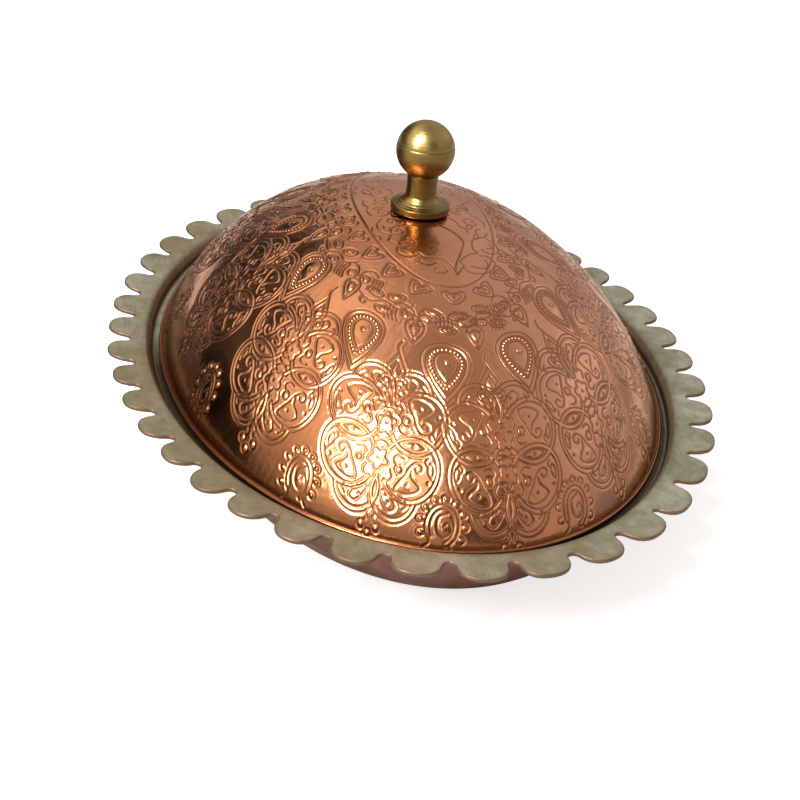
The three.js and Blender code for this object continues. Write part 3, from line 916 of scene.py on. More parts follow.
def wall_path(count, below=0.0):
    """Inset and height from the floor's edge up to the ledge: inset falls by the lean's sine, height
    rises by 1 - cos ** fullness. below moves each point out square to the wall."""
    bend = np.linspace(0, np.pi / 2, count)
    inset = LEDGE_IN + WALL_LEAN * (1 - np.sin(bend))
    height = DISH_SHEET + (LEDGE_Z - DISH_SHEET) * (1 - np.cos(bend) ** WALL_FULLNESS)
    slope = np.stack([np.gradient(inset), np.gradient(height)])
    slope[:, 0], slope[:, -1] = (-1, 0), (0, 1)
    slope = slope / np.linalg.norm(slope, axis=0)
    return np.stack([inset - below * slope[1], height + below * slope[0]], axis=1)


def flange_height(inset):
    return DISH_Z - FLANGE_RISE * inset / FLANGE_WIDTH


def step_path(count, shift=0.0, drop=0.0):
    """An S from the ledge up to the flange, steep at its foot and round at its shoulder: the height
    rises by (1 - cos(pi * part ** power)) / 2 while the inset falls evenly."""
    part = np.linspace(0, 1, count)
    inset = LEDGE_OUT + (FLANGE_WIDTH - LEDGE_OUT) * part - shift
    rise = (flange_height(FLANGE_WIDTH) - LEDGE_Z) * (1 - np.cos(np.pi * part**STEP_POWER)) / 2
    return np.stack([inset, LEDGE_Z + rise - drop], axis=1)


top_path = np.concatenate([
    wall_path(16)[:-1],
    [(17.28, 19.75), (17.1, 20.02), (16.8, LEDGE_Z)],
    [(15.6, LEDGE_Z), (14.0, LEDGE_Z), (12.3, LEDGE_Z)],
    step_path(STEP_ROWS),
])
under_path = np.concatenate([
    step_path(7, STEP_SHIFT, DISH_SHEET)[::-1],
    [(13.5, LEDGE_Z - DISH_SHEET), (15.7, LEDGE_Z - DISH_SHEET), (16.2, LEDGE_Z - 1.15)],
    wall_path(13, DISH_SHEET)[-2::-1],
])
print("path points above and below:", len(top_path), len(under_path))

# %% [markdown]
# The flange is cut with shears and filed: forty tongues with round tips, and narrow round notches
# between them. One tongue's outline is a tip arc, two straight flanks and a notch arc, and it is
# laid along the tip oval by arc length. No measure was kept: the tongues crowd on some stretches and
# thin out on others, notches are wider or deeper here and there, and tips lean. The grid's columns
# are closest together where the outline turns most, and drift back to even spacing by the step.

# %% The tongues
TONGUES = 40
TONGUE_LENGTH = 6.2
NOTCH_RADIUS = 1.6
FLANK = np.radians(80)
DRIFT = ((1, 0.185, -0.57), (2, 0.214, -0.92))  # how tongues crowd: waves round, pitches, start
TIP_SQUARING = 0.14  # 0 leaves the tips round
TIP_SHORT, TIP_LEAN, NOTCH_UNEVEN = 0.1, 0.22, 0.3  # millimetres that the hand is off by
OVAL_STEPS = 20001  # points that the oval's length is measured with
TIP_STEPS, NOTCH_STEPS, FLANK_STEPS = 14, 9, 2
TONGUE_COLUMNS = TIP_STEPS + NOTCH_STEPS + 2 * FLANK_STEPS

oval_turn = np.linspace(0, 2 * np.pi, OVAL_STEPS)
oval_length = lengths_along(on_oval(TIP_A, TIP_B, oval_turn))
PITCH = oval_length[-1] / TONGUES


def tongue_outline():
    """Distance along the oval and depth in from it, for the columns of one tongue."""
    across, level = PITCH / 2, TONGUE_LENGTH - NOTCH_RADIUS
    tip_radius = (across * np.sin(FLANK) - level * np.cos(FLANK) - NOTCH_RADIUS) / (1 - np.cos(FLANK))
    tip_turn = np.linspace(-FLANK, FLANK, TIP_STEPS)
    tip_depth = tip_radius * (1 - np.cos(tip_turn))
    tip_depth = tip_depth * (tip_depth / tip_depth[0]) ** TIP_SQUARING
    tip = np.stack([tip_radius * np.sin(tip_turn), tip_depth], axis=1)
    notch_turn = np.linspace(-FLANK, FLANK, NOTCH_STEPS)
    notch_out = across + NOTCH_RADIUS * np.sin(notch_turn)
    notch = np.stack([notch_out, TONGUE_LENGTH - NOTCH_RADIUS * (1 - np.cos(notch_turn))], axis=1)
    part = (np.arange(FLANK_STEPS)[:, None] + 1) / (FLANK_STEPS + 1)
    rising = tip[-1] + (notch[0] - tip[-1]) * part
    falling = notch[-1] + (tip[0] + (PITCH, 0) - notch[-1]) * part
    return np.concatenate([tip, rising, notch, falling])


def oval_at(place):
    """The angle on the oval at a share of its length, drift included."""
    drift = sum(size * np.sin(2 * np.pi * waves * place + start) for waves, size, start in DRIFT)
    place = place + drift / TONGUES
    return np.interp(place % 1, oval_length / oval_length[-1], oval_turn)


one_tongue = tongue_outline()
tongue_number = np.repeat(np.arange(TONGUES), TONGUE_COLUMNS)
exact_place = (tongue_number + np.tile(one_tongue[:, 0], TONGUES) / PITCH) / TONGUES
even_place = exact_place[0] + np.arange(len(exact_place)) / len(exact_place)
edge_depth = np.tile(one_tongue[:, 1], TONGUES)
notch = np.floor(exact_place * TONGUES) + 0.5
off_notch = exact_place * TONGUES - notch  # from the nearest notch, in pitches
one_side = np.clip(np.sin(2 * np.pi * notch / TONGUES + 0.3), -0.2, 1)
narrow = 0.3 * one_side + 0.1 * np.sin(2.3 * notch)  # share by which each notch is narrower
exact_place = (notch + off_notch * (1 - narrow * (1 - 2 * np.abs(off_notch)))) / TONGUES
own = np.round(exact_place * TONGUES)  # the number of the tongue that a column belongs to
at_tip = np.clip(1 - edge_depth / TONGUE_LENGTH, 0, 1)
edge_depth = edge_depth + at_tip * TIP_SHORT * (1 + np.sin(3.7 * own + 1.0))
edge_depth = edge_depth + (1 - at_tip) ** 2 * NOTCH_UNEVEN * np.sin(2.9 * notch + 0.4)
exact_place = exact_place + at_tip * TIP_LEAN / PITCH / TONGUES * np.sin(4.3 * own + 0.5)
exact_turn, even_turn = oval_at(exact_place), oval_at(even_place)
inward = -np.stack([np.cos(exact_turn) / TIP_A, np.sin(exact_turn) / TIP_B], axis=1)
inward = inward / np.linalg.norm(inward, axis=1, keepdims=True)
edge = on_oval(TIP_A, TIP_B, exact_turn) + inward * edge_depth[:, None]
edge_run = np.roll(edge, -1, axis=0) - np.roll(edge, 1, axis=0)
edge_in = np.stack([-edge_run[:, 1], edge_run[:, 0]], axis=1)
edge_in = edge_in / np.linalg.norm(edge_in, axis=1, keepdims=True)
print(f"{TONGUES} tongues, one every {PITCH:.2f} mm, {len(edge)} columns")

# %% [markdown]
# Now the rows: centre of the floor, out over the top, round the cut edge, and back below to the
# centre. The edge is filed slightly round. No two tongues lie quite alike, so each leans up or down
# by a tenth or two, slow waves run through the flange and the floor, and the whole flange is bent
# up on the far side. Four masks say where the tin is missing, where painted shade darkens it in the
# step and on the ledge round the lid, where it is stained, and where it is cut through. On the
# stretch of the ledge that light reaches, the tin gets no stain and is painted pale.

# %% The dish as one closed grid
EDGE_PATH = (  # in from the outline, and down from the top: the filed edge
    (0.32, 0.0), (0.1, 0.05), (0.0, 0.26), (0.0, 0.72), (0.1, 0.95), (0.32, 1.0),
)
FLOOR_SHARES = (0.04, 0.16, 0.32, 0.5, 0.68, 0.84, 0.95)
FLANGE_ROWS = 12
UNDER_ROWS = 7
BASE_Z = 0.02
DISH_WAVES = 0.11
BENT_UP, BENT_FROM = 0.9, 0.35  # how far, and the turn where the flange isn't bent
LIT_LEDGE_FROM, LIT_LEDGE_TO = 3.2, 4.75  # turns between which light reaches the ledge, so it is painted pale there, not shaded
FLOOR_A = TIP_A - LEDGE_IN - WALL_LEAN
FLOOR_B = TIP_B - LEDGE_IN - WALL_LEAN


def ring_at(inset, height):
    """A ring of the even columns, its half-axes that much less than the tip oval's."""
    return at_height(on_oval(TIP_A - inset, TIP_B - inset, even_turn), height)


def flange_rows(inset, count, drop):
    """Rows from the ring at that inset out to the outline, drop below the top face."""
    start = ring_at(inset, flange_height(inset) - drop)
    finish = at_height(edge + edge_in * EDGE_PATH[0][0], flange_height(edge_depth) - drop)
    return [start + (finish - start) * part for part in np.linspace(0, 1, count + 1)[1:]]


def floor_rings(height, shares):
    return [at_height(on_oval(part * FLOOR_A, part * FLOOR_B, even_turn), height) for part in shares]


rings = floor_rings(DISH_SHEET, FLOOR_SHARES)
rings += [ring_at(inset, height) for inset, height in top_path]
rings += flange_rows(FLANGE_WIDTH, FLANGE_ROWS, 0.0)[:-1]
first_edge = len(rings)
rings += [at_height(edge + edge_in * inset, flange_height(edge_depth) - down) for inset, down in EDGE_PATH]
last_edge = len(rings) - 1
rings += flange_rows(FLANGE_WIDTH - STEP_SHIFT, UNDER_ROWS, DISH_SHEET)[-2::-1]
rings += [ring_at(inset, height) for inset, height in under_path]
rings += floor_rings(BASE_Z, FLOOR_SHARES[::-1])
dish_grid = np.array(rings)
dish_grid[..., 2] = np.maximum(dish_grid[..., 2], BASE_Z)

reach_out = np.hypot(dish_grid[..., 0] / TIP_A, dish_grid[..., 1] / TIP_B)
on_flange = np.clip((reach_out - 0.895) / 0.08, 0, 1)
on_bowl = np.clip((0.6 - reach_out) / 0.2, 0, 1) * (dish_grid[..., 2] > 0.5)
lean = (0.14 * np.sin(2.1 * own + 0.7) + 0.1 * np.sin(5.3 * own + 2.0)) * at_tip
waves = hand_waves(dish_grid[..., 0], dish_grid[..., 1], DISH_WAVES)
bent_up = BENT_UP * (0.5 - 0.5 * np.cos(even_turn - BENT_FROM))
dish_grid[..., 2] += on_flange * (waves + lean + bent_up)
dish_grid[..., 2] += 0.5 * on_bowl * (waves - 0.1)

row_number = np.arange(len(rings))[:, None] + np.zeros(len(edge))
bare = np.clip(row_number - first_edge, 0, 1)
cut_edge = np.clip(1.6 - np.abs(row_number - (first_edge + last_edge) / 2) / 2.0, 0, 1)
past_foot = row_number - (len(FLOOR_SHARES) + len(top_path) - STEP_ROWS)  # rows out from the step's foot
shoulder = 0.5 * np.clip(1 - np.abs(past_foot - 6.0) / 8.0, 0, 1)
# Painted shade: the step's wall and its round shoulder are painted dark brown, and so is the ledge round the
# lid's foot where the lid shades it. On the stretch of the ledge that light reaches, the ledge gets no stain
# and is painted pale.
lit_ledge_side = np.clip((LIT_LEDGE_TO - even_turn) / 0.25, 0, 1) * np.clip((even_turn - LIT_LEDGE_FROM) / 0.4, 0, 1)
ledge = np.clip(2.5 - np.abs(past_foot + 2.0), 0, 1)
painted_step_shade = np.maximum(np.maximum(0.95 * bell(past_foot - 2.0, 2.4), shoulder), ledge * (1 - lit_ledge_side))
aged_except_lit_ledge = (0.42 - 0.33 * np.sin(even_turn - 0.2)) * (1 - ledge * lit_ledge_side)
columns = len(edge)
points = np.concatenate([dish_grid.reshape(-1, 3), [(0, 0, DISH_SHEET), (0, 0, BASE_Z)]])
last_ring = (len(rings) - 1) * columns
dish_faces = [
    grid_faces(len(rings), columns),
    np.concatenate([
        fan_faces(len(points) - 2, 0, columns),
        fan_faces(len(points) - 1, last_ring, columns, up=False),
    ]),
]
dish = build_piece("dish_of_tongues", points, dish_faces, (True, True))
for label, values, centres in (  # the last two points are the centres of the top and the base
    ("bare", bare, (0, 1)), ("cut_edge", cut_edge, (0, 0)), ("painted_step_shade", painted_step_shade, (0, 0)),
    ("aged_except_lit_ledge", aged_except_lit_ledge, (0.4, 0.4)),
):
    add_value(dish, label, np.append(values.ravel(), centres))
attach(dish, "dish")
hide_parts("dish")

# %% [markdown]
# The knob is turned from one bar of brass: a flat foot with a sloping top, a waisted neck and a
# ball. A profile of radius and height is turned round the axis. The turner's tool leaves rings,
# strongest on the foot, and a scribed line runs round the ball just above its middle.

# %% The turned knob
KNOB_Z = 62.9
FOOT_RADIUS, FOOT_SIDE, FOOT_TOP_RADIUS = 7.5, 64.7, 7.2
NECK_RADIUS, NECK_START, NECK_STOP = 4.0, 66.9, 72.5
BALL_RADIUS, BALL_Z = 7.4, 78.71
SCRIBED = 0.22  # latitude of the line round the ball, in radians
TOP_FLAT = 0.13  # taken off the pole where the bar was parted off
KNOB_COLUMNS = 144
KNOB_BORE, BORE_TOP = 2.3, 71.2
# Heights of the painted shade bands round the neck, and of the painted highlight ring on the foot.
SHADED_NECK_Z, BRIGHT_RING_Z = 69.3, 66.2


def knob_path():
    """Radius and height from the bore's rim, out under the foot, up the side, in over the sloping
    top, up the neck, round the ball to the pole, and down the bore from its blind end."""
    side = [(KNOB_BORE, KNOB_Z), (5.0, KNOB_Z), (7.2, KNOB_Z), (7.42, KNOB_Z + 0.1), (7.5, KNOB_Z + 0.35)]
    side += [(7.5, KNOB_Z + 0.8), (7.46, KNOB_Z + 0.95), (7.5, KNOB_Z + 1.1)]
    side += [(FOOT_RADIUS, FOOT_SIDE - 0.35), (7.42, FOOT_SIDE - 0.12), (FOOT_TOP_RADIUS, FOOT_SIDE)]
    part = np.linspace(0, 1, 46)[1:]
    slope_out = FOOT_TOP_RADIUS + (NECK_RADIUS - FOOT_TOP_RADIUS) * part
    slope_up = FOOT_SIDE + (NECK_START - FOOT_SIDE) * (0.35 * part + 0.65 * part**2.2)
    rings = np.column_stack([slope_out, slope_up + 0.05 * np.sin(8.5 * np.pi * part) * (1 - part)])
    part = np.linspace(0, 1, 34)[1:-1]
    neck_out = NECK_RADIUS - 0.16 * np.sin(np.pi * part) + 0.012 * np.sin(26 * np.pi * part)
    neck = np.column_stack([neck_out, NECK_START + (NECK_STOP - NECK_START) * part])
    rise = np.linspace(-np.arccos(NECK_RADIUS / BALL_RADIUS), np.pi / 2, 121)
    scribed = 0.16 * bell(rise - SCRIBED, 0.024)
    tooled = 0.006 * np.sin(52 * rise) + 0.004 * np.sin(87 * rise)
    radius = BALL_RADIUS - scribed - np.clip(tooled, 0, 1)
    ball = np.column_stack([radius * np.cos(rise), BALL_Z + radius * np.sin(rise)])
    ball[:, 1] = np.minimum(ball[:, 1], BALL_Z + BALL_RADIUS - TOP_FLAT)
    return np.concatenate([side, rings, neck, ball[:-1]])


def turned_piece(name, path, columns, pole_top, blind_end):
    """The path turned round the axis and closed: a fan at the ball's pole, the bore's wall, and a
    fan over the bore's blind end."""
    around = 2 * np.pi * np.arange(columns) / columns
    path = np.concatenate([[(path[0][0], blind_end)], path])
    grid = np.stack(
        [path[:, :1] * np.cos(around), path[:, :1] * np.sin(around), path[:, 1:] + 0 * around], axis=-1
    )
    points = np.concatenate([grid.reshape(-1, 3), [(0, 0, pole_top), (0, 0, blind_end)]])
    quads = grid_faces(len(path), columns)
    fans = np.concatenate([
        fan_faces(len(points) - 2, (len(path) - 1) * columns, columns),
        fan_faces(len(points) - 1, 0, columns, up=False),
    ])
    return build_piece(name, points, [quads[:, ::-1], fans], (True, True))


knob = turned_piece("ball_knob", knob_path(), KNOB_COLUMNS, BALL_Z + BALL_RADIUS - TOP_FLAT, BORE_TOP)
knob_spots = np.array([vertex.co for vertex in knob.data.vertices]) / MM
above = knob_spots[:, 2]
around = np.arctan2(knob_spots[:, 1], knob_spots[:, 0])
# Painted shade and painted reflection on the knob: darker below the ball's middle, at the scribed line and
# on the foot's side, dark bands round the neck, and a paler painted highlight ring on the foot's sloping
# top.
past_line = above - BALL_Z - BALL_RADIUS * np.sin(SCRIBED)
under_line = np.clip(-past_line / 1.2, 0, 1)
in_neck = np.clip(1.6 - np.abs(above - SHADED_NECK_Z) / 2.4, 0, 1)
on_side = np.clip((FOOT_SIDE - above) / 0.4, 0, 1)
knob_painted_shade = 0.65 * under_line + in_neck * (0.5 + 0.2 * np.cos(5 * around + 0.6) + 0.1 * np.cos(11 * around))
knob_painted_shade = knob_painted_shade + 0.75 * on_side + 0.6 * bell(past_line, 0.22)
knob_painted_shade = knob_painted_shade - 0.35 * bell(above - BRIGHT_RING_Z, 0.9)
add_value(knob, "knob_painted_shade", np.clip(knob_painted_shade, 0, 0.9))
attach(knob, "lid")
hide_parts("knob")

# %% [markdown]
# Materials come next. Scratches, blotches and turning lines show on more than one metal, so each is
# a node group that gives one number from the object's own coordinates. The metals mix their colour,
# roughness and a fine bump from those numbers and from the masks stored on the points.

# %% Shared effects
def add_node(tree, kind, inputs=None, **settings):
    """A node with its settings, and each input either linked or set to a constant."""
    made = tree.nodes.new(kind)
    for key, value in settings.items():
        setattr(made, key, value)
    for key, value in (inputs or {}).items():
        if isinstance(value, bpy.types.NodeSocket):
            tree.links.new(value, made.inputs[key])
        else:
            made.inputs[key].default_value = value
    return made


def calculate(tree, operation, *values):
    made = add_node(tree, "ShaderNodeMath", dict(enumerate(values)), operation=operation)
    return made.outputs[0]


def times(tree, first, second, plus=0.0):
    """first * second + plus."""
    return calculate(tree, "MULTIPLY_ADD", first, second, plus)


def spread_out(tree, value, low, high):
    """The value stretched so that low becomes 0 and high becomes 1, with soft ends."""
    inputs = {"Value": value, "From Min": low, "From Max": high}
    return add_node(tree, "ShaderNodeMapRange", inputs, interpolation_type="SMOOTHSTEP").outputs["Result"]


def noise(tree, place, scale, **inputs):
    """Noise along a vector, from 0 to 1."""
    inputs = {"Vector": place, "Scale": scale, **inputs}
    return add_node(tree, "ShaderNodeTexNoise", inputs).outputs["Fac"]


def mixed(tree, share, first, second):
    """A colour between two: each is a socket or (red, green, blue)."""
    made = add_node(tree, "ShaderNodeMix", data_type="RGBA")
    for socket, value in ((made.inputs[0], share), (made.inputs[6], first), (made.inputs[7], second)):
        if isinstance(value, bpy.types.NodeSocket):
            tree.links.new(value, socket)
        else:
            socket.default_value = (*value, 1.0) if isinstance(value, tuple) else value
    return made.outputs[2]


def new_effect(name, inputs, output):
    """A node group with a vector input, number inputs and one number output."""
    tree = bpy.data.node_groups.new(name, "ShaderNodeTree")
    tree.interface.new_socket(name="Vector", in_out="INPUT", socket_type="NodeSocketVector")
    for label, value in inputs:
        made = tree.interface.new_socket(name=label, in_out="INPUT", socket_type="NodeSocketFloat")
        made.default_value = value
    tree.interface.new_socket(name=output, in_out="OUTPUT", socket_type="NodeSocketFloat")
    return tree, tree.nodes.new("NodeGroupInput"), tree.nodes.new("NodeGroupOutput")


def scratches_effect():
    """Thin straight marks in three directions: noise that is stretched about twentyfold one way, of
    which only the highest ridges are kept, and only in patches."""
    tree, given, result = new_effect("fine scratches", [("Density", 0.5)], "Amount")
    place = given.outputs["Vector"]
    total = None
    for turn in ((0.2, 0.1, 0.5), (0.1, 0.6, 1.9), (0.5, -0.3, 2.9)):
        inputs = {"Vector": place, "Rotation": turn, "Scale": (110.0, 2600.0, 1800.0)}
        along = add_node(tree, "ShaderNodeMapping", inputs).outputs[0]
        line = spread_out(tree, noise(tree, along, 1.0, Detail=1.0), 0.66, 0.74)
        total = line if total is None else calculate(tree, "MAXIMUM", total, line)
    open_at = calculate(tree, "SUBTRACT", 0.8, times(tree, given.outputs["Density"], 0.5))
    patch = spread_out(tree, noise(tree, place, 60.0), open_at, calculate(tree, "ADD", open_at, 0.12))
    tree.links.new(times(tree, total, patch), result.inputs["Amount"])
    return tree


def blotches_effect():
    """Soft uneven patches: two sizes of noise, the finer one bending the edges of the larger."""
    tree, given, result = new_effect("uneven blotches", [("Size", 40.0)], "Amount")
    place, size = given.outputs["Vector"], given.outputs["Size"]
    large = noise(tree, place, size, Detail=4.0, Distortion=0.8)
    small = noise(tree, place, times(tree, size, 6.0), Detail=3.0)
    tree.links.new(spread_out(tree, times(tree, small, 0.3, large), 0.48, 0.84), result.inputs["Amount"])
    return tree


def turning_effect():
    """Rings round the upright axis: noise read along radius and height only."""
    tree, given, result = new_effect("turning lines", [("Lines", 3000.0)], "Amount")
    x, y, z = add_node(tree, "ShaderNodeSeparateXYZ", {0: given.outputs["Vector"]}).outputs
    radius = calculate(tree, "SQRT", times(tree, y, y, times(tree, x, x)))
    path = add_node(tree, "ShaderNodeCombineXYZ", {0: radius, 1: z}).outputs[0]
    inputs = {"Vector": path, "Scale": given.outputs["Lines"], "Detail": 3.0}
    rings = add_node(tree, "ShaderNodeTexNoise", inputs, noise_dimensions="2D").outputs["Fac"]
    tree.links.new(spread_out(tree, rings, 0.3, 0.7), result.inputs["Amount"])
    return tree


scratches, blotches, turning = scratches_effect(), blotches_effect(), turning_effect()
print("shared effects:", scratches.name, "/", blotches.name, "/", turning.name)

# %% [markdown]
# The copper is polished but handled: bright between the lines, dull and brown where soot and polish
# stay in them, and darker low on one side of the skirt. The lid's foot and lip are painted dark
# brown, painted shade where the lid meets the dish. The tin is wiped on hot, so it is matt,
# mottled and never quite white; in the dish's step and on the ledge round the lid it is painted
# dark, painted shade, and pale where light reaches the ledge. Where there is no tin, under the
# dish and on its cut edge, the copper has gone mauve-brown. The brass is painted darker low on the
# knob and in bands round its neck, painted shade and painted reflection, with a paler painted
# highlight ring on the foot.

# %% Copper, tin, brass and steel
def new_material(name, metallic=1.0):
    """A material with one Principled shader, and its object coordinates."""
    made = bpy.data.materials.new(name)
    made.use_nodes = True
    tree = made.node_tree
    shader = next(item for item in tree.nodes if item.type == "BSDF_PRINCIPLED")
    shader.inputs["Metallic"].default_value = metallic
    place = tree.nodes.new("ShaderNodeTexCoord").outputs["Object"]
    return made, tree, shader, place


def effect(tree, group, place, **inputs):
    made = add_node(tree, "ShaderNodeGroup", node_tree=group)
    tree.links.new(place, made.inputs["Vector"])
    for key, value in inputs.items():
        made.inputs[key].default_value = value
    return made.outputs["Amount"]


def mask(tree, name):
    """The values that add_value stored on a mesh under that name."""
    inputs = {"attribute_name": name, "attribute_type": "GEOMETRY"}
    return add_node(tree, "ShaderNodeAttribute", **inputs).outputs["Fac"]


def finish_metal(tree, shader, colour, rough, height, distance):
    """Links colour and roughness, and a fine bump whose full height is distance, in metres."""
    bump = add_node(tree, "ShaderNodeBump", {"Height": height, "Distance": distance, "Strength": 1.0})
    for name, socket in (("Base Color", colour), ("Roughness", rough), ("Normal", bump.outputs[0])):
        tree.links.new(socket, shader.inputs[name])


def copper_metal():
    """Polished copper, brown in the punched lines, with smudges, scratches and planishing marks."""
    made, tree, shader, place = new_material("chased copper")
    # Soot in the punched grooves, and painted shade at the lid's foot and lip, turn the copper brown.
    soot_and_foot_shade = spread_out(tree, mask(tree, "soot_and_foot_shade"), 0.15, 0.95)
    smudge = effect(tree, blotches, place, Size=45.0)
    warm = effect(tree, blotches, place, Size=14.0)
    marks = effect(tree, scratches, place, Density=0.5)
    colour = mixed(tree, warm, COPPER_BRIGHT, COPPER_WARM)
    colour = mixed(tree, times(tree, smudge, 0.35), colour, COPPER_DULL)
    # Darker low on one side of the skirt.
    colour = mixed(tree, times(tree, mask(tree, "darkening"), 0.8), colour, COPPER_LOW_SIDE_DARK)
    colour = mixed(tree, times(tree, soot_and_foot_shade, 0.72), colour, SOOT_AND_SHADE_BROWN)
    rough = times(tree, smudge, 0.08, 0.15)
    rough = times(tree, marks, 0.12, rough)
    rough = times(tree, soot_and_foot_shade, 0.2, rough)
    height = times(tree, marks, -0.12, noise(tree, place, 420.0, Detail=2.0))
    finish_metal(tree, shader, colour, rough, height, 0.00006)
    return made


def tin_metal():
    """Wiped tin over copper, and the bare copper where the masks say there is no tin."""
    made, tree, shader, place = new_material("tinned copper")
    mottle = effect(tree, blotches, place, Size=70.0)
    stain = effect(tree, blotches, place, Size=24.0)
    speck = effect(tree, blotches, place, Size=260.0)
    marks = effect(tree, scratches, place, Density=0.75)
    painted_step_shade = mask(tree, "painted_step_shade")
    # Stains brown the tin, but not on the stretch of the ledge that light reaches, which is painted pale.
    brown = times(tree, times(tree, stain, 0.8, 0.35), mask(tree, "aged_except_lit_ledge"))
    tin = mixed(tree, mottle, TIN_LIGHT, TIN_GREEN)
    tin = mixed(tree, brown, tin, TIN_BROWN)
    tin = mixed(tree, times(tree, speck, 0.3), tin, TIN_DARK)
    tin = mixed(tree, times(tree, marks, 0.35), tin, TIN_DARK)
    # Painted shade: the step's wall, its shoulder and the shaded ledge turn near-black brown.
    tin = mixed(tree, times(tree, painted_step_shade, 0.92), tin, STEP_SHADE_BROWN)
    colour = mixed(tree, mask(tree, "bare"), tin, mixed(tree, mottle, UNDER_MAUVE, UNDER_BROWN))
    colour = mixed(tree, times(tree, mask(tree, "cut_edge"), 0.8), colour, CUT_GREY)
    tree.links.new(times(tree, painted_step_shade, 0.3, 0.7), shader.inputs["Metallic"])
    rough = times(tree, mottle, 0.12, 0.4)
    rough = times(tree, marks, 0.15, rough)
    height = times(tree, marks, -0.6, noise(tree, place, 900.0, Detail=3.0))
    height = times(tree, mottle, 0.8, height)
    finish_metal(tree, shader, colour, rough, height, 0.00005)
    return made


def brass_metal():
    """Satin turned brass: fine rings in bump and roughness, and thin brown tarnish."""
    made, tree, shader, place = new_material("turned brass")
    lines = effect(tree, turning, place, Lines=2600.0)
    darkening = effect(tree, blotches, place, Size=160.0)
    marks = effect(tree, scratches, place, Density=0.3)
    colour = mixed(tree, times(tree, darkening, 0.5), BRASS_CLEAN, BRASS_TARNISH)
    colour = mixed(tree, times(tree, lines, 0.35), colour, BRASS_LINE)
    # Painted shade and painted reflection darken the knob.
    colour = mixed(tree, mask(tree, "knob_painted_shade"), colour, BRASS_DARK)
    rough = times(tree, darkening, 0.10, 0.24)
    rough = times(tree, lines, 0.08, rough)
    finish_metal(tree, shader, colour, rough, times(tree, marks, -0.4, lines), 0.000012)
    return made


def steel_metal():
    """Zinc-plated steel, dull, with pale crystals."""
    made, tree, shader, place = new_material("plated steel")
    crystal = add_node(tree, "ShaderNodeTexVoronoi", {"Vector": place, "Scale": 900.0})
    pale = effect(tree, blotches, place, Size=180.0)
    lines = effect(tree, turning, place, Lines=2000.0)
    colour = mixed(tree, pale, STEEL_GREY, STEEL_PALE)
    colour = mixed(tree, times(tree, lines, 0.3), colour, STEEL_DARK)
    rough = times(tree, crystal.outputs["Distance"], 0.2, 0.34)
    finish_metal(tree, shader, colour, rough, lines, 0.00001)
    return made


COPPER_BRIGHT, COPPER_WARM, COPPER_DULL = (0.88, 0.42, 0.24), (0.84, 0.36, 0.17), (0.6, 0.26, 0.13)
# a darker copper low on one side of the skirt
COPPER_LOW_SIDE_DARK = (0.3, 0.12, 0.05)
# the brown of soot in the grooves, and of the painted shade at the lid's foot and lip
SOOT_AND_SHADE_BROWN = (0.16, 0.058, 0.024)
TIN_LIGHT, TIN_GREEN = (0.5, 0.515, 0.405), (0.3, 0.32, 0.22)
TIN_BROWN, TIN_DARK = (0.3, 0.24, 0.135), (0.1, 0.085, 0.06)
# painted shade in the dish's step and on the shaded ledge
STEP_SHADE_BROWN = (0.05, 0.03, 0.016)
UNDER_MAUVE, UNDER_BROWN, CUT_GREY = (0.38, 0.19, 0.14), (0.22, 0.11, 0.07), (0.16, 0.12, 0.08)
BRASS_CLEAN, BRASS_TARNISH, BRASS_LINE = (0.5, 0.385, 0.145), (0.34, 0.23, 0.07), (0.32, 0.22, 0.07)
# painted shade on the knob
BRASS_DARK = (0.14, 0.08, 0.02)
STEEL_GREY, STEEL_PALE, STEEL_DARK = (0.52, 0.52, 0.5), (0.66, 0.66, 0.64), (0.3, 0.3, 0.29)

copper, tin, brass, steel = copper_metal(), tin_metal(), brass_metal(), steel_metal()
for piece in lid_bands:
    piece.data.materials.append(copper)
for piece in (lid_lining, dish):
    piece.data.materials.append(tin)
knob.data.materials.append(brass)
for name, metal in (("knob_washer", brass), ("knob_screw", steel)):
    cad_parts[name].data.materials.clear()
    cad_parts[name].data.materials.append(metal)
print("materials:", [item.name for item in (copper, tin, brass, steel)])

# %% [markdown]
# The stage: a pale floor, a white surround that only the camera sees, a soft grey studio for the
# reflections, a bright window to the camera's left, a narrow dim one above the camera, and a dark
# card on the floor, seen only in reflections, that gives the polished dome its deep side. Metal is
# mostly what it mirrors, so these decide more of its look than its own colour does.

# %% Floor, cards and windows
def direction(azimuth, elevation):
    """The unit vector towards an azimuth and an elevation in degrees."""
    a, e = np.radians(azimuth), np.radians(elevation)
    return Vector((np.cos(a) * np.cos(e), np.sin(a) * np.cos(e), np.sin(e)))


def flat_sheet(name, corners):
    mesh = bpy.data.meshes.new(name)
    mesh.from_pydata(corners, [], [tuple(range(len(corners)))])
    piece = bpy.data.objects.new(name, mesh)
    bpy.context.scene.collection.objects.link(piece)
    return piece


def floor_material():
    """Pale paint that also glows a little for the camera, so the floor is white with a faint shadow."""
    made = bpy.data.materials.new("pale floor")
    made.use_nodes = True
    tree = made.node_tree
    tree.nodes.clear()
    paint = add_node(tree, "ShaderNodeBsdfDiffuse", {"Color": (0.62, 0.62, 0.61, 1.0)})
    glow = add_node(tree, "ShaderNodeEmission", {"Color": (1.0, 1.0, 1.0, 1.0), "Strength": 0.74})
    both = add_node(tree, "ShaderNodeAddShader", {0: paint.outputs[0], 1: glow.outputs[0]})
    seen = add_node(tree, "ShaderNodeLightPath").outputs["Is Camera Ray"]
    blend = add_node(tree, "ShaderNodeMixShader", {0: seen, 1: paint.outputs[0], 2: both.outputs[0]})
    add_node(tree, "ShaderNodeOutputMaterial", {"Surface": blend.outputs[0]})
    return made


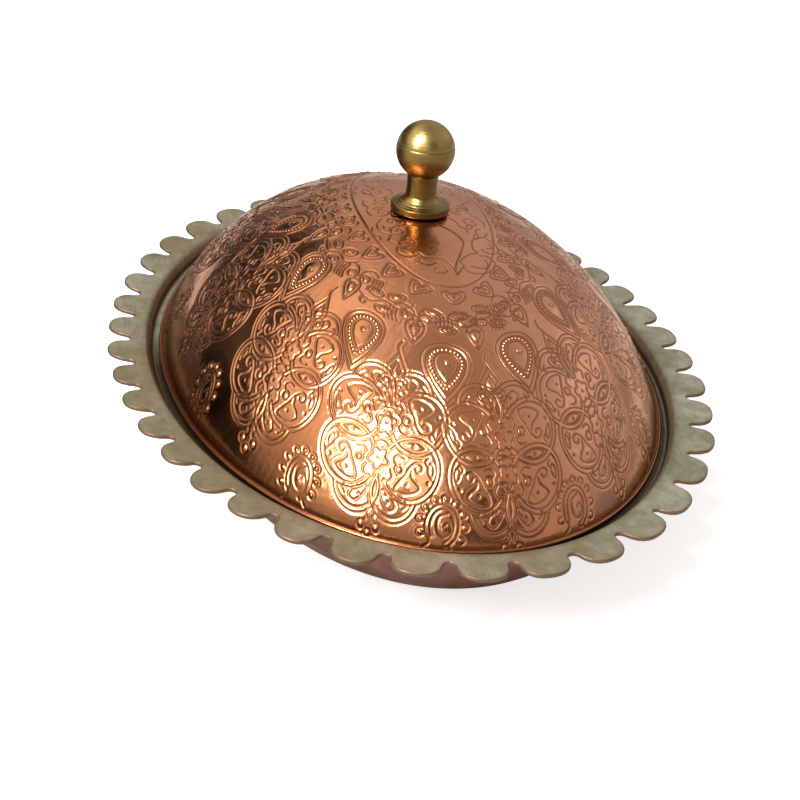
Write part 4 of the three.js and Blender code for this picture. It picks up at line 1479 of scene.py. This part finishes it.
def window_light(name, azimuth, elevation, wide, high, radiance):
    """A soft window one metre away: power is radiance times pi times its area."""
    lamp = bpy.data.lights.new(name, "AREA")
    lamp.shape, lamp.size, lamp.size_y = "RECTANGLE", wide, high
    lamp.energy = radiance * np.pi * wide * high
    lamp.color = (1.0, 0.97, 0.93)
    made = bpy.data.objects.new(name, lamp)
    way = direction(azimuth, elevation)
    facing_in = way.to_track_quat("Z", "Y").to_matrix().to_4x4()
    made.matrix_world = Matrix.Translation(way + Vector((0, 0, LID_MIDDLE))) @ facing_in
    bpy.context.scene.collection.objects.link(made)


LID_MIDDLE = 0.04  # height that the windows face, in metres
FLOOR_HALF = 6  # metres
DARK_NEAR = 0.12  # from the dish's middle to the card, in metres
DARK_CORNERS = (  # azimuth of each far corner, and its distance from the dish's middle
    (-165, 0.26), (-152, 0.26), (-144, 0.3), (-139, 1.6), (-126, 1.6), (-113, 1.6), (-100, 1.6),
)
OFF_FLOOR = Vector((0, 0, 0.0006))  # keeps the card clear of the floor
floor_corners = [(x * FLOOR_HALF, y * FLOOR_HALF, 0) for x, y in ((-1, -1), (1, -1), (1, 1), (-1, 1))]
floor = flat_sheet("floor", floor_corners)
floor.data.materials.append(floor_material())
near_corners = [OFF_FLOOR + DARK_NEAR * direction(azimuth, 0) for azimuth, far in DARK_CORNERS]
far_corners = [OFF_FLOOR + far * direction(azimuth, 0) for azimuth, far in reversed(DARK_CORNERS)]
dark_card = flat_sheet("dark card", near_corners + far_corners)
card_paint, _, card_shader, _ = new_material("dark card", metallic=0.0)
card_shader.inputs["Base Color"].default_value = (0.045, 0.022, 0.012, 1.0)
card_shader.inputs["Roughness"].default_value = 1.0
dark_card.data.materials.append(card_paint)
dark_card.visible_camera = dark_card.visible_diffuse = dark_card.visible_shadow = False
window_light("main window", -57, 48, 0.27, 0.7, 25.0)
window_light("side window", -20, 42, 0.16, 0.7, 1.5)


def surround():
    """White for the camera. For everything else a grey studio, lighter overhead, with dark and
    light patches where the dome mirrors something dark or pale."""
    world = bpy.data.worlds.new("studio")
    bpy.context.scene.world = world
    world.use_nodes = True
    tree = world.node_tree
    tree.nodes.clear()
    way = add_node(tree, "ShaderNodeTexCoord").outputs["Generated"]
    up = add_node(tree, "ShaderNodeSeparateXYZ", {0: way}).outputs[2]
    level = times(tree, spread_out(tree, up, 0.0, 0.35), 0.17, 0.33)

    def closeness(other):
        """The cosine between the way a ray goes and another direction."""
        inputs = {0: way, 1: other}
        return add_node(tree, "ShaderNodeVectorMath", inputs, operation="DOT_PRODUCT").outputs["Value"]

    def patch(azimuth, elevation, low, high):
        """1 around that direction, fading to 0 where the cosine to it falls from high to low."""
        return spread_out(tree, closeness(direction(azimuth, elevation)), low, high)

    def beam(first, second, half_wide):
        """1 along the straight line between two directions, as wide as a window frame."""
        off = calculate(tree, "ABSOLUTE", closeness(first.cross(second).normalized()))
        close = spread_out(tree, off, half_wide, 0.4 * half_wide)
        middle = closeness((first + second).normalized())
        return times(tree, close, spread_out(tree, middle, 0.96, 0.985))

    for near, change in (
        (patch(-143, 9, 0.81, 0.91), -0.9),  # the dark side of the room
        (patch(-116, -6, 0.86, 0.95), -0.9),
        (beam(direction(-155, 13), direction(-171, 34), 0.07), -0.9),
        (patch(22, 32, 0.93, 0.98), -0.85),  # a dark shape behind the camera
        (patch(100, -2, 0.85, 0.98), -0.5),
        (patch(-150, 89, 0.8, 0.95), -0.25),
        (patch(108, 17, 0.9, 0.99), 0.65),
        (patch(-85, 36, 0.75, 0.97), 0.6),  # the wall beside the window
        (patch(-138, 54, 0.9, 0.98), 1.1),
    ):
        level = times(tree, level, times(tree, near, change, 1.0))
    tint = mixed(tree, patch(112, 17, 0.5, 0.95), (1.0, 0.87, 0.74), (1.02, 0.99, 1.03))
    studio = add_node(tree, "ShaderNodeBackground", {"Color": tint, "Strength": level})
    white = add_node(tree, "ShaderNodeBackground", {"Color": (1.0, 1.0, 1.0, 1.0), "Strength": 1.0})
    seen = add_node(tree, "ShaderNodeLightPath").outputs["Is Camera Ray"]
    blend = add_node(tree, "ShaderNodeMixShader", {0: seen, 1: studio.outputs[0], 2: white.outputs[0]})
    add_node(tree, "ShaderNodeOutputWorld", {"Surface": blend.outputs[0]})


surround()
bpy.context.scene.view_settings.view_transform = "Standard"

# %% [markdown]
# The camera stands where the photographer stood: past one end of the dish, so that it looks along
# the oval and down at about thirty degrees, and it is tipped to one side as a hand-held one is.

# %% Camera
CAMERA_PLACE = (357.738, -90.048, 212.933)
CAMERA_RIGHT = (0.19462, 0.97683, 0.08899)
CAMERA_UP = (-0.4951, 0.01951, 0.86862)
CAMERA_AHEAD = (-0.84676, 0.21311, -0.48743)
CAMERA_LENS = 70.12

camera_data = bpy.data.cameras.new("photo camera")
camera_data.lens = CAMERA_LENS
camera_data.sensor_width = 36.0
camera = bpy.data.objects.new("photo camera", camera_data)
turned = Matrix((CAMERA_RIGHT, CAMERA_UP, -Vector(CAMERA_AHEAD))).transposed().to_4x4()
camera.matrix_world = Matrix.Translation(Vector(CAMERA_PLACE) * MM) @ turned
bpy.context.scene.collection.objects.link(camera)
bpy.context.scene.camera = camera
print("camera", round(Vector(CAMERA_PLACE).length), "mm from the dish's middle")
